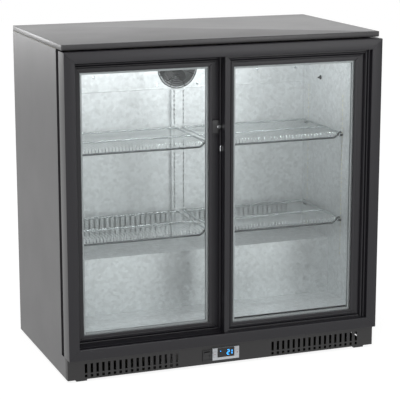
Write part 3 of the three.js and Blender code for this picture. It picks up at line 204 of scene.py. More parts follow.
def slab_between(low, high, corner, edge, front=False):
    """A slab that fills the box between two corners, lying level or facing the front."""
    low, high = np.asarray(low, float), np.asarray(high, float)
    middle, half = (low + high) / 2, (high - low) / 2
    if front:
        return slab(facing_front(middle), half[0], half[2], -half[1], half[1], corner, edge)
    return slab(level(middle), half[0], half[1], -half[2], half[2], corner, edge)


def lathe(place, profile, steps=32):
    """A turned solid: each profile point (r, h) becomes a ring (r cos a, r sin a, h)."""
    a = np.linspace(0, 2 * math.pi, steps, endpoint=False)
    circle = np.stack([np.cos(a), np.sin(a)], -1)
    rings = [np.column_stack([circle * r, np.full(steps, h)]) for r, h in profile]
    points, faces = ring_stack(rings)
    return place(points), faces


def torus(place, ring_radius, bar_radius, steps=48, sides=8):
    """A bar bent to a circle: ((R + r cos b) cos a, (R + r cos b) sin a, r sin b)."""
    a = np.linspace(0, 2 * math.pi, steps, endpoint=False)[:, None]
    b = np.linspace(0, 2 * math.pi, sides, endpoint=False)[None, :]
    reach = ring_radius + bar_radius * np.cos(b)
    points = np.stack([reach * np.cos(a), reach * np.sin(a), bar_radius * np.sin(b) + 0 * a], -1)
    flat, faces = loop_stack(points)
    return place(flat), faces


def rim(place, outline, radius, sides=8):
    """A round bead along a closed outline: at each point p with outward normal n, the ring
    p + radius (cos b · n + sin b · w), with n from the central difference of the outline."""
    along = np.roll(outline, -1, axis=0) - np.roll(outline, 1, axis=0)
    normal = np.stack([along[:, 1], -along[:, 0]], -1)
    normal /= np.linalg.norm(normal, axis=1, keepdims=True)
    b = np.linspace(0, 2 * math.pi, sides, endpoint=False)
    flat = outline[:, None] + radius * np.cos(b)[:, None] * normal[:, None]
    height = np.broadcast_to(radius * np.sin(b), flat.shape[:2])
    points, faces = loop_stack(np.concatenate([flat, height[..., None]], -1))
    return place(points), faces


def tube(path, radius, across, sides=8):
    """A round bar along a path that lies in a plane with normal across: at each point p with tangent t, the
    ring p + radius (cos a · n + sin a · across), with n = across x t. Tangents are central differences."""
    path, across = np.asarray(path, float), np.asarray(across, float)
    tangent = np.gradient(path, axis=0)
    tangent /= np.linalg.norm(tangent, axis=1, keepdims=True)
    normal = np.cross(across, tangent)
    a = np.linspace(0, 2 * math.pi, sides, endpoint=False)
    rings = path[:, None] + radius * (np.cos(a)[:, None] * normal[:, None] + np.sin(a)[:, None] * across)
    return ring_stack(rings)


def fillet(points, radii, steps=4):
    """An outline with rounded corners. At corner p the arc starts and ends d = r / tan(half the corner's angle)
    from p, and its points are the quadratic curve (1-t)²·start + 2t(1-t)·p + t²·end."""
    points = np.asarray(points, float)
    before, after = np.roll(points, 1, axis=0), np.roll(points, -1, axis=0)
    t = np.linspace(0, 1, steps)[:, None]
    outline = []
    for p, q, s, r in zip(points, before, after, radii):
        if r <= 0:
            outline.append(p[None])
            continue
        back, ahead = (q - p) / np.linalg.norm(q - p), (s - p) / np.linalg.norm(s - p)
        half = math.acos(np.clip(back @ ahead, -1, 1)) / 2
        reach = min(r / math.tan(half), 0.49 * np.linalg.norm(q - p), 0.49 * np.linalg.norm(s - p))
        start, end = p + back * reach, p + ahead * reach
        outline.append((1 - t) ** 2 * start + 2 * t * (1 - t) * p + t**2 * end)
    return np.concatenate(outline)


def mitred_bar(section, ends, slopes, place):
    """A bar whose ends are cut at an angle: for each section point (s, t) it runs from
    ends[0] + slopes[0]·s to ends[1] + slopes[1]·s. place turns arrays (along, s, t) into points."""
    s, t = section[:, 0], section[:, 1]
    rings = [place(end + slope * s, s, t) for end, slope in zip(ends, slopes)]
    return ring_stack(rings)


# ---------------------------------------------------------------- pieces and materials
SMOOTH_BELOW = math.radians(32)


def put_piece(name, solid, material, body, replaces=()):
    """Makes one object from points and faces, turns its faces outwards, and lets it ride on its body."""
    points, faces = solid
    mesh = bpy.data.meshes.new(name)
    mesh.from_pydata(points.tolist(), [], faces)
    shell = bmesh.new()
    shell.from_mesh(mesh)
    bmesh.ops.recalc_face_normals(shell, faces=shell.faces)
    shell.to_mesh(mesh)
    shell.free()
    mesh.polygons.foreach_set("use_smooth", np.ones(len(mesh.polygons), bool))
    mesh.set_sharp_from_angle(angle=SMOOTH_BELOW)
    mesh.materials.append(material)
    piece = bpy.data.objects.new(name, mesh)
    bpy.context.scene.collection.objects.link(piece)
    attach(piece, body)
    if replaces:
        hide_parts(*replaces)
    return piece


def add_node(tree, kind, settings=None, **inputs):
    """Adds one node. settings are its own properties; inputs are its sockets by name, given a value or a
    socket to link from, with _ for a space and a final number for a socket's index."""
    made = tree.nodes.new(kind)
    for name, value in (settings or {}).items():
        setattr(made, name, value)
    for name, value in inputs.items():
        socket = made.inputs[int(name[1:])] if name[1:].isdigit() else made.inputs[name.replace("_", " ")]
        if isinstance(value, bpy.types.NodeSocket):
            tree.links.new(value, socket)
        else:
            socket.default_value = value
    return made


def new_material(name):
    """An empty material and its node tree."""
    material = bpy.data.materials.new(name)
    material.use_nodes = True
    tree = material.node_tree
    tree.nodes.clear()
    return material, tree


def finish_with(material, tree, shader):
    """Links the shader to the material's output."""
    add_node(tree, "ShaderNodeOutputMaterial", Surface=shader)
    return material


def object_point(tree, stretch=(1, 1, 1)):
    """Object coordinates, drawn out by stretch."""
    place = add_node(tree, "ShaderNodeTexCoord")
    return add_node(tree, "ShaderNodeMapping", Vector=place.outputs["Object"], Scale=stretch).outputs[0]


def shades(base, amount):
    """A colour made darker and lighter by amount, for the two ends of a mix."""
    base = np.array(base[:3])
    return (*base * (1 - amount), 1.0), (*np.minimum(base * (1 + amount), 1), 1.0)


CLOUD = 120 * MM  # size of the slow changes of colour and gloss
PLASTIC_IOR = 1.5
METALLIC = 1.0


def surface(material, tree, base, mottle, tone, gloss, roughness, spread, height, depth, **settings):
    """What most finishes share: a colour that varies by mottle with tone, a roughness that varies by spread
    with gloss, and a bump of depth from height."""
    dark, light = shades(base, mottle)
    tint = add_node(tree, "ShaderNodeMix", {"data_type": "RGBA"}, _0=tone, _6=dark, _7=light)
    rough = add_node(
        tree, "ShaderNodeMapRange", Value=gloss, To_Min=max(roughness - spread, 0.02),
        To_Max=roughness + spread,
    )
    bump = add_node(tree, "ShaderNodeBump", Height=height, Distance=depth)
    shader = add_node(
        tree, "ShaderNodeBsdfPrincipled", Base_Color=tint.outputs[2], Roughness=rough.outputs["Result"],
        Normal=bump.outputs["Normal"], **settings,
    )
    return finish_with(material, tree, shader.outputs["BSDF"])


def coated(name, base, grain, roughness, depth, mottle=0.05):
    """A coated or moulded surface: a fine grain in the bump, and slow changes of colour and gloss."""
    material, tree = new_material(name)
    where = object_point(tree)
    fine = add_node(tree, "ShaderNodeTexNoise", Vector=where, Scale=1 / grain, Detail=2.0).outputs["Fac"]
    slow = add_node(tree, "ShaderNodeTexNoise", Vector=where, Scale=1 / CLOUD, Detail=3.0).outputs["Fac"]
    return surface(material, tree, base, mottle, slow, slow, roughness, 0.04, fine, depth, IOR=PLASTIC_IOR)


DIE_LINES = 1.2 * MM  # the real lines are finer, and are drawn this coarse so that they show
DIE_STRETCH = 0.01
SATIN_LEVEL = 0.34  # the matt skin of the PVC scatters part of its sheen


def drawn(name, base, along, roughness, depth):
    """An extruded profile: the die leaves fine lines along it."""
    material, tree = new_material(name)
    stretch = [1.0, 1.0, 1.0]
    stretch[along] = DIE_STRETCH
    drawn_out = object_point(tree, stretch)
    lines = add_node(
        tree, "ShaderNodeTexNoise", Vector=drawn_out, Scale=1 / DIE_LINES, Detail=2.0
    ).outputs["Fac"]
    slow = add_node(
        tree, "ShaderNodeTexNoise", Vector=object_point(tree), Scale=1 / CLOUD, Detail=3.0
    ).outputs["Fac"]
    return surface(
        material, tree, base, 0.06, slow, lines, roughness, 0.05, lines, depth,
        IOR=PLASTIC_IOR, Specular_IOR_Level=SATIN_LEVEL,
    )


def metal(name, base, roughness, grain, spread=0.06, depth=0.02 * MM):
    """A plated, rolled or polished metal: its gloss changes slightly from place to place."""
    material, tree = new_material(name)
    fine = add_node(
        tree, "ShaderNodeTexNoise", Vector=object_point(tree), Scale=1 / grain, Detail=2.0
    ).outputs["Fac"]
    return surface(material, tree, base, 0.04, fine, fine, roughness, spread, fine, depth, Metallic=METALLIC)


ZINC_METALLIC = 0.7  # the grey oxide bloom hides part of the metal
ZINC_CLOUD = 200 * MM
CRYSTAL_SHARE = 0.75  # of the colour's change from crystal to crystal; the rest is cloudiness


def galvanised(name, base, spangle):
    """Hot-dip galvanised sheet: zinc freezes in flat crystals, so each cell of a Voronoi pattern has its own
    brightness and gloss, with a slow cloudiness over it."""
    material, tree = new_material(name)
    where = object_point(tree)
    warp = add_node(tree, "ShaderNodeTexNoise", Vector=where, Scale=1 / spangle, Detail=1.0)
    bent = add_node(
        tree, "ShaderNodeVectorMath", {"operation": "MULTIPLY_ADD"}, _0=warp.outputs["Color"],
        _1=(spangle * 0.5,) * 3, _2=where,
    )
    cells = add_node(tree, "ShaderNodeTexVoronoi", Vector=bent.outputs["Vector"], Scale=1 / spangle)
    shade = add_node(tree, "ShaderNodeSeparateColor", Color=cells.outputs["Color"])
    slow = add_node(tree, "ShaderNodeTexNoise", Vector=where, Scale=1 / ZINC_CLOUD, Detail=3.0)
    cloud = add_node(
        tree, "ShaderNodeMapRange", Value=slow.outputs["Fac"], To_Min=0.0, To_Max=1 - CRYSTAL_SHARE
    )
    tone = add_node(
        tree, "ShaderNodeMath", {"operation": "MULTIPLY_ADD"}, _0=shade.outputs[0], _1=CRYSTAL_SHARE,
        _2=cloud.outputs["Result"],
    )
    return surface(
        material, tree, base, 0.12, tone.outputs["Value"], shade.outputs[1], 0.45, 0.11, shade.outputs[2],
        0.06 * MM, Metallic=ZINC_METALLIC,
    )


GLASS_IOR = 1.38  # the doors' coated glass reflects less than bare glass does


def float_glass(name):
    """Clear float glass: light goes through it, and each outer face reflects a little by Fresnel's law.
    The faces inside a pane are left out of the reflection, so that it isn't counted twice."""
    material, tree = new_material(name)
    facing = add_node(tree, "ShaderNodeNewGeometry")
    fresnel = add_node(tree, "ShaderNodeFresnel", IOR=GLASS_IOR)
    outward = add_node(
        tree, "ShaderNodeMath", {"operation": "SUBTRACT"}, _0=1.0, _1=facing.outputs["Backfacing"]
    )
    share = add_node(
        tree, "ShaderNodeMath", {"operation": "MULTIPLY"}, _0=fresnel.outputs["Fac"],
        _1=outward.outputs["Value"],
    )
    clear = add_node(tree, "ShaderNodeBsdfTransparent", Color=linear("#FDFEFE"))
    smear = add_node(
        tree, "ShaderNodeTexNoise", Vector=object_point(tree), Scale=1 / (50 * MM), Detail=3.0
    )
    rough = add_node(tree, "ShaderNodeMapRange", Value=smear.outputs["Fac"], To_Min=0.0, To_Max=0.03)
    gloss = add_node(tree, "ShaderNodeBsdfGlossy", Roughness=rough.outputs["Result"])
    mixed = add_node(
        tree, "ShaderNodeMixShader", Fac=share.outputs["Value"], _1=clear.outputs[0], _2=gloss.outputs[0]
    )
    return finish_with(material, tree, mixed.outputs[0])


def glowing(name, tint, strength, grain):
    """A lit surface with a slight unevenness behind it."""
    material, tree = new_material(name)
    cloud = add_node(
        tree, "ShaderNodeTexNoise", Vector=object_point(tree), Scale=1 / grain, Detail=2.0
    )
    dark, light = shades(tint, 0.05)
    mix = add_node(
        tree, "ShaderNodeMix", {"data_type": "RGBA"}, _0=cloud.outputs["Fac"], _6=dark, _7=light
    )
    shader = add_node(
        tree, "ShaderNodeBsdfPrincipled", Base_Color=mix.outputs[2], Emission_Color=tint,
        Emission_Strength=strength, Roughness=0.4,
    )
    return finish_with(material, tree, shader.outputs["BSDF"])


FINISHES = {}


def finish_of(name):
    if name not in FINISHES:
        raise RuntimeError(f"the finish {name} is missing: run the finishes first")
    return FINISHES[name]


def make_finishes(colours, spangle):
    """Every finish of the cooler, named for what it is."""
    coat = tuple(colours.coat)
    profile = tuple(colours.profile)
    made = {
        # Polyester powder coat on sheet steel: semi-gloss with a faint orange peel of about 2 mm.
        "powder_coat": coated("powder_coated_steel", coat, 2 * MM, 0.36, 0.03 * MM),
        "kick_coat": coated("powder_coated_kick_plate", linear("#191819"), 2 * MM, 0.5, 0.03 * MM),
        # Extruded hard PVC: satin, with die lines along its length.
        "profile_across": drawn("extruded_pvc_across", profile, 0, 0.34, 0.02 * MM),
        "profile_upright": drawn("extruded_pvc_upright", profile, 2, 0.34, 0.02 * MM),
        # Hot-dip galvanised sheet with spangle.
        "zinc_sheet": galvanised("galvanised_sheet", tuple(colours.zinc), spangle),
        # Zinc-plated steel wire: bright with a soft gloss.
        "bright_wire": metal("zinc_plated_wire", tuple(colours.wire), 0.26, 3 * MM),
        # The same zinc-plated wire, made darker as painted shade: the dark stands in for the black door frame
        # that the rods along the front edges reflect.
        "front_rod": metal("plated_wire_painted_shade", linear("#4C4F50"), 0.3, 3 * MM),
        # Moulded ABS with metallic paint: fine sparkle of flakes.
        "silver": coated("silver_painted_abs", tuple(colours.silver), 0.7 * MM, 0.34, 0.01 * MM, 0.08),
        "window": coated("smoked_acrylic", linear("#08090B"), 20 * MM, 0.08, 0.002 * MM, 0.1),
        "black_abs": coated("moulded_black_abs", linear("#151517"), 1 * MM, 0.38, 0.02 * MM),
        "nylon": coated("moulded_nylon", linear("#E2E0D8"), 1 * MM, 0.45, 0.02 * MM),
        "rubber": coated("extruded_epdm_rubber", linear("#131313"), 0.8 * MM, 0.75, 0.05 * MM),
        "foam": coated("polyurethane_foam", linear("#D9CF9A"), 2.5 * MM, 0.9, 0.6 * MM, 0.12),
        "machine_black": coated("stoved_black_enamel", linear("#1B1C1E"), 3 * MM, 0.4, 0.04 * MM),
        # Coated grille wire, its colour darkened as painted shade: the dark stands in for the shade inside the
        # fan housing behind the grille.
        "grille_dark_painted_shade": coated("grille_wire_painted_shade", linear("#2A2C2D"), 1 * MM, 0.4, 0.02 * MM),
        "mark": coated("pad_printed_mark", linear("#7E5C60"), 0.6 * MM, 0.5, 0.005 * MM),
        # Polished chrome plate, and mill-finish aluminium.
        "chrome": metal("chrome_plate", linear("#DDDFE2"), 0.1, 8 * MM, 0.03),
        "aluminium": metal("mill_aluminium", linear("#D3D6D6"), 0.36, 2 * MM),
        # Glass spacer: dull anodised aluminium with its drying holes too small to see.
        "spacer": metal("anodised_spacer", linear("#8D9091"), 0.5, 2 * MM),
        "lamp": glowing("opal_lamp_diffuser", linear("#F6F9FA"), 1.0, 20 * MM),
        "digits": glowing("led_segments", tuple(colours.display), 1.6, 2 * MM),
        "glass": float_glass("float_glass"),
    }
    FINISHES.update(made)


NODE_FINISH = {
    "powder_coat": ["left_side_panel", "right_side_panel", "back_panel"],
    "kick_coat": ["kick_plate"],
    "machine_black": ["base_tray", "compressor", "condenser", "evaporator_fan_motor"],
    "foam": ["insulation_left", "insulation_right"],
    "zinc_sheet": [
        "liner_left", "liner_right", "liner_floor", "liner_back_and_ceiling", "duct_cover",
        "rear_centre_post", "front_centre_post",
    ],
    "aluminium": ["evaporator_coil"],
    "spacer": ["left_door_spacer", "right_door_spacer"],
    "glass": [
        "left_door_outer_pane", "left_door_inner_pane", "right_door_outer_pane", "right_door_inner_pane",
    ],
    "rubber": ["left_door_seal", "right_door_seal"],
    "nylon": [
        "left_door_roller_left", "left_door_roller_right", "right_door_roller_left", "right_door_roller_right",
    ],
    "black_abs": ["mains_inlet", "power_switch_case", "power_switch_rocker"],
    "chrome": ["lock_plug"],
    "silver": ["controller_case"],
    "lamp": ["cabin_lamp"],
}


# ---------------------------------------------------------------- operators
class COOLER_OT_finishes(bpy.types.Operator):
    """Makes every finish and gives the carried-over CAD parts theirs."""

    bl_idname = "cooler.finishes"
    bl_label = "Finishes"

    def execute(self, context):
        make_finishes(context.scene.cooler_colours, context.scene.cooler_sizes.spangle)
        for finish, names in NODE_FINISH.items():
            for name in names:
                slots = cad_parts[name].data.materials
                slots.clear()
                slots.append(finish_of(finish))
        return {"FINISHED"}


class COOLER_OT_worktop(bpy.types.Operator):
    """Folded worktop sheet with rounded edges."""

    bl_idname = "cooler.worktop"
    bl_label = "Worktop"

    def execute(self, context):
        low, high = box("worktop")
        fold = context.scene.cooler_sizes.fold_radius
        solid = slab_between(low, high, 2 * fold, fold)
        put_piece("worktop_sheet", solid, finish_of("powder_coat"), "cabinet", ["worktop"])
        return {"FINISHED"}


FACE = 30 * MM
LIP = 6.5 * MM
CHANNEL_FLOOR = {"head": 12 * MM, "sill": 16 * MM, "jamb": 25 * MM}
RIB = (31.7 * MM, 33.3 * MM, 26 * MM)
SIDE_DEPTH = 52 * MM
NECK = 9 * MM
WEB_BACK = 60 * MM


def frame_section(kind, reach, depth):
    """Outline (s, t) of a frame member with rounded visible edges: s runs inward, t runs back."""
    floor = CHANNEL_FLOOR[kind]
    points = [(0, 0), (FACE, 0), (FACE, LIP), (floor, LIP)]
    radii = [1.5 * MM, 3.2 * MM, 0.5 * MM, 0]
    if kind != "jamb":
        points += [(floor, RIB[0]), (RIB[2], RIB[0]), (RIB[2], RIB[1]), (floor, RIB[1])]
        radii += [0, 0.5 * MM, 0.5 * MM, 0]
    points += [
        (floor, WEB_BACK), (reach, WEB_BACK), (reach, depth), (NECK, depth), (NECK, SIDE_DEPTH), (0, SIDE_DEPTH),
    ]
    radii += [0, 0.8 * MM, 0, 0, 0.5 * MM, 1.2 * MM]
    return fillet(points, radii)


class COOLER_OT_frame(bpy.types.Operator):
    """Four mitred profiles of the door frame."""

    bl_idname = "cooler.frame"
    bl_label = "Door frame"

    def execute(self, context):
        head_low, head_high = box("frame_head")
        sill_low, sill_high = box("frame_sill")
        jamb_low, jamb_high = box("frame_jamb_left")
        face_y, back_y = head_low[1], head_high[1]
        left, right = jamb_low[0], -jamb_low[0]
        bottom, top = sill_low[2], head_high[2]
        depth = back_y - face_y
        gap = 0.2 * MM
        across, upright = finish_of("profile_across"), finish_of("profile_upright")
        sides = {
            "frame_head": (
                frame_section("head", head_high[2] - head_low[2], depth), (left + gap, right - gap), across,
                lambda along, s, t: np.stack([along, face_y + t, top - s], -1),
            ),
            "frame_sill": (
                frame_section("sill", sill_high[2] - sill_low[2], depth), (left + gap, right - gap), across,
                lambda along, s, t: np.stack([along, face_y + t, bottom + s], -1),
            ),
            "frame_jamb_left": (
                frame_section("jamb", jamb_high[0] - jamb_low[0], depth), (bottom + gap, top - gap), upright,
                lambda along, s, t: np.stack([left + s, face_y + t, along], -1),
            ),
            "frame_jamb_right": (
                frame_section("jamb", jamb_high[0] - jamb_low[0], depth), (bottom + gap, top - gap), upright,
                lambda along, s, t: np.stack([right - s, face_y + t, along], -1),
            ),
        }
        for name, (section, ends, finish, place) in sides.items():
            solid = mitred_bar(section, ends, (1, -1), place)
            put_piece(f"{name}_profile", solid, finish, "cabinet", [name])
        return {"FINISHED"}


SEAT = 3.5 * MM
POCKET = 8.3 * MM
UNIT = 17.2 * MM
ROLLER_SLOT = (7.5 * MM, 15.5 * MM, 20 * MM)
PULL = (21 * MM, 42 * MM, 11 * MM)


def leaf_section(width, depth, beads, sizes, pull=False, roller=False):
    """Outline (a, b) of a leaf member: a runs inward from its outer edge, b runs back. Each bead is a half
    round of radius r at a, (a - r cos q, top + r (1 - sin q)) for q over half a turn, between two grooves."""
    r, groove = sizes.bead_radius, sizes.bead_depth
    q = np.linspace(0, math.pi, 9)
    outline = [np.array([[0, 0.6 * MM], [0.6 * MM, 0]])]
    for index, centre in enumerate(beads):
        top = 0.3 * MM * (index + 1)
        floor = min(groove, SEAT - 0.4 * MM) if centre + r > width - POCKET - 3 * MM else groove
        lead = 3.2 * MM if index == 0 else 2.4 * MM
        outline.append(np.array([[centre - r - lead, top - 0.3 * MM], [centre - r - lead + 0.5 * MM, floor]]))
        outline.append(np.array([[centre - r, floor]]))
        outline.append(np.stack([centre - r * np.cos(q), top + r * (1 - np.sin(q))], -1))
        outline.append(np.array([[centre + r, floor]]))
    if pull:
        near, far, deep = PULL
        outline.append(
            np.array([
                [near - 0.1 * MM, floor], [near, deep], [far, deep], [far, 1.6 * MM], [far + 0.8 * MM, 0.8 * MM],
                [width - 2.5 * MM, 0.8 * MM], [width, 2.6 * MM],
            ])
        )
    else:
        outline.append(np.array([[width - 1.5 * MM, min(floor, 2.8 * MM)], [width, SEAT - 0.2 * MM]]))
    outline.append(
        np.array([
            [width, SEAT], [width - POCKET, SEAT], [width - POCKET, SEAT + UNIT], [width, SEAT + UNIT],
            [width, depth - 0.8 * MM], [width - 0.8 * MM, depth], [0.8 * MM, depth], [0, depth - 0.8 * MM],
        ])
    )
    if roller:
        front, back, deep = ROLLER_SLOT
        outline.append(np.array([[0, back], [deep, back], [deep, front], [0, front]]))
    return np.concatenate(outline)


class COOLER_OT_leaves(bpy.types.Operator):
    """Eight mitred profiles of the two sliding leaves, with beads, finger pulls and roller channels."""

    bl_idname = "cooler.leaves"
    bl_label = "Sliding leaves"

    def execute(self, context):
        sizes = context.scene.cooler_sizes
        across, upright = finish_of("profile_across"), finish_of("profile_upright")
        for door in ("left_door", "right_door"):
            low, high = box(f"{door}_left_stile")
            left_width = high[0] - low[0]
            x0, y0, z0 = low
            z1, depth = high[2], high[1] - low[1]
            right_low, right_high = box(f"{door}_right_stile")
            x1, right_width = right_high[0], right_high[0] - right_low[0]
            rail_low, rail_high = box(f"{door}_bottom_rail"), box(f"{door}_top_rail")
            low_width = rail_low[1][2] - rail_low[0][2]
            high_width = rail_high[1][2] - rail_high[0][2]
            gap = 0.15 * MM
            left_beads = (11 * MM,) if door == "left_door" else (19 * MM,)
            members = {
                "left_stile": (
                    leaf_section(left_width, depth, left_beads, sizes), (z0 + gap, z1 - gap),
                    (low_width / left_width, -high_width / left_width), upright,
                    lambda along, s, t: np.stack([x0 + s, y0 + t, along], -1),
                ),
                "right_stile": (
                    leaf_section(right_width, depth, (9.5 * MM, 17.6 * MM), sizes, pull=True),
                    (z0 + gap, z1 - gap), (low_width / right_width, -high_width / right_width), upright,
                    lambda along, s, t: np.stack([x1 - s, y0 + t, along], -1),
                ),
                "top_rail": (
                    leaf_section(high_width, depth, (16.5 * MM, 26.5 * MM), sizes), (x0 + gap, x1 - gap),
                    (left_width / high_width, -right_width / high_width), across,
                    lambda along, s, t: np.stack([along, y0 + t, z1 - s], -1),
                ),
                "bottom_rail": (
                    leaf_section(low_width, depth, (17 * MM, 27.5 * MM), sizes, roller=True),
                    (x0 + gap, x1 - gap), (left_width / low_width, -right_width / low_width), across,
                    lambda along, s, t: np.stack([along, y0 + t, z0 + s], -1),
                ),
            }
            for member, (section, ends, slopes, finish, place) in members.items():
                solid = mitred_bar(section, ends, slopes, place)
                name = f"{door}_{member}"
                put_piece(f"{name}_profile", solid, finish, door, [name])
        return {"FINISHED"}


class COOLER_OT_lock(bpy.types.Operator):
    """Lock barrel with its turned collar, the block that carries it, and the chrome bolt below it."""

    bl_idname = "cooler.lock"
    bl_label = "Lock"

    def execute(self, context):
        low, high = box("lock_barrel")
        middle = (low + high) / 2
        radius, depth = (high[0] - low[0]) / 2, high[1] - low[1]
        stile = box("left_door_right_stile")
        far, near = stile[1][0] - PULL[0], stile[1][0] - PULL[1]
        block = slab_between(
            (near, stile[0][1] + 0.9 * MM, middle[2] - 18 * MM),
            (far, stile[0][1] + PULL[2] + 1 * MM, middle[2] + 18 * MM), 3 * MM, 0.8 * MM, front=True,
        )
        put_piece("lock_block", block, finish_of("black_abs"), "left_door")
        bore = 4.9 * MM
        profile = [
            (bore, -depth), (radius, -depth), (radius, -1.2 * MM), (radius - 0.4 * MM, -0.4 * MM),
            (radius - 1.2 * MM, 0), (bore + 1.6 * MM, 0), (bore + 0.4 * MM, -0.5 * MM), (bore, -1.4 * MM),
        ]
        steps = np.linspace(0, 2 * math.pi, 40, endpoint=False)
        r, h = np.array(profile).T
        rings = np.stack(
            [np.cos(steps)[:, None] * r, np.sin(steps)[:, None] * r, np.broadcast_to(h, (len(steps), len(h)))], -1
        )
        points, faces = loop_stack(rings)
        place = facing_front((middle[0], low[1], middle[2]))
        put_piece(
            "lock_collar", (place(points), faces), finish_of("machine_black"), "left_door",
            ["lock_barrel"],
        )
        bolt_x, bolt_z = middle[0] + 6.4 * MM, middle[2] - 60 * MM
        bolt = slab(
            facing_front((bolt_x, stile[0][1], bolt_z)), 3.5 * MM, 8 * MM, -3 * MM, -0.1 * MM, 3.4 * MM, 1 * MM
        )
        head = lathe(
            facing_front((bolt_x, stile[0][1], bolt_z + 3 * MM)),
            [(0.2 * MM, -2 * MM), (2 * MM, -2 * MM), (2 * MM, 0), (0.3 * MM, 0.15 * MM)], 16,
        )
        put_piece("lock_bolt", combine(bolt, head), finish_of("chrome"), "left_door")
        return {"FINISHED"}


CLIP_HALF = np.array([5.5, 6, 3]) * MM
CLIP_INSET = 2.9 * MM  # from the shelf's outer side to the clip's middle
ROD_BEND = 5 * MM  # radius in which the wires turn down at the front
ROD_KINK = 24 * MM  # length over which the front rod rises at each end


class COOLER_OT_shelves(bpy.types.Operator):
    """Four wire shelves with bent front edges, and the clips that carry them."""

    bl_idname = "cooler.shelves"
    bl_label = "Shelves"

    def execute(self, context):
        sizes = context.scene.cooler_sizes
        rod, wire = sizes.shelf_rod / 2, sizes.shelf_wire / 2
        clips = []
        for name in ("lower_left_shelf", "lower_right_shelf", "upper_left_shelf", "upper_right_shelf"):
            low, high = box(name)
            x0, x1 = low[0], high[0]
            back, front = high[1] - rod, low[1] + rod
            plane, drop = high[2] - wire, low[2] + 3 * MM
            under = plane - wire - rod * 0.8
            turn = np.linspace(0, math.pi / 2, 5)
            nose = front - rod + wire
            y = np.concatenate([[back], nose + ROD_BEND - ROD_BEND * np.sin(turn), [nose]])
            z = np.concatenate([[plane], plane - ROD_BEND * (1 - np.cos(turn)), [drop]])
            path = np.stack([np.zeros_like(y), y, z], -1)
            count = int((x1 - x0 - 6 * rod) / sizes.shelf_pitch)
            spacing = (x1 - x0 - 6 * rod) / count
            one = tube(path, wire, (1, 0, 0), 6)
            wires = repeat(one, [(x0 + 3 * rod + i * spacing, 0, 0) for i in range(count + 1)])
            ramp = np.linspace(0, 1, 6)
            ease = ramp * ramp * (3 - 2 * ramp)
            front_x = np.concatenate([x0 + rod + ROD_KINK * ramp, x1 - rod - ROD_KINK * ramp[::-1]])
            front_z = np.concatenate([plane - (plane - drop) * ease, plane - (plane - drop) * ease[::-1]])
            front_path = np.stack([front_x, np.full_like(front_x, front), front_z], -1)
            front_rod = tube(front_path, rod, (0, 1, 0), 12)
            middle = (back + front) / 2 - 14.5 * MM
            bars = [tube([(x0, at, under), (x1, at, under)], rod, (0, 1, 0), 12) for at in (back, middle)]
            sides = (x0 + rod, x1 - rod)
            bars += [tube([(at, back, under), (at, front, under)], rod, (1, 0, 0), 12) for at in sides]
            put_piece(
                f"{name}_wires", combine(wires, *bars), finish_of("bright_wire"), "cabinet", [name]
            )
            put_piece(f"{name}_front_rod", front_rod, finish_of("front_rod"), "cabinet")
            wall, side = (x0, -1) if abs(x0) > abs(x1) else (x1, 1)
            for at in (front + 5 * MM, back - 14 * MM):
                spot = np.array([wall - side * CLIP_INSET, at, under - rod - CLIP_HALF[2]])
                clips.append(slab_between(spot - CLIP_HALF, spot + CLIP_HALF, 1.5 * MM, 0.8 * MM))
        put_piece("shelf_clips", combine(*clips), finish_of("black_abs"), "cabinet")
        return {"FINISHED"}


HUB = 17 * MM
CHORD = 26 * MM
TWIST = (math.radians(24), math.radians(14))  # at the root and at the tip
BLADE_THICK = 1.8 * MM
BLADES = 5


def fan_blades(hub, tip):
    """Fan blades: at radius v from hub to tip a chord is set at an angle that eases from root to tip, cambered
    by 4% (1 - u²) of the chord, and thickened on both sides by t sqrt(1 - u²)."""
    v = np.linspace(0, 1, 7)[:, None]
    u = np.linspace(-1, 1, 9)[None, :]
    radius = hub + (tip - hub) * v
    angle = TWIST[0] + (TWIST[1] - TWIST[0]) * v
    half = CHORD / 2 * (0.75 + 0.25 * np.sin(math.pi * v))
    camber = 0.08 * half * (1 - u**2)
    body = BLADE_THICK / 2 * np.sqrt(np.clip(1 - u**2, 0.05, 1))
    rings = []
    for side in (1, -1):
        along = half * u
        away = camber + side * body
        tangent = along * np.cos(angle) - away * np.sin(angle)
        axial = along * np.sin(angle) + away * np.cos(angle)
        sweep = tangent / radius
        skin = np.stack([radius * np.sin(sweep), axial, radius * np.cos(sweep)], -1)
        rings.append(skin if side > 0 else skin[:, ::-1])
    one = ring_stack(np.concatenate(rings, axis=1))
    spun = []
    for t in np.arange(BLADES) * 2 * math.pi / BLADES:
        spin = np.array([[math.cos(t), 0, -math.sin(t)], [0, 1, 0], [math.sin(t), 0, math.cos(t)]])
        spun.append((one[0] @ spin, one[1]))
    return combine(*spun)


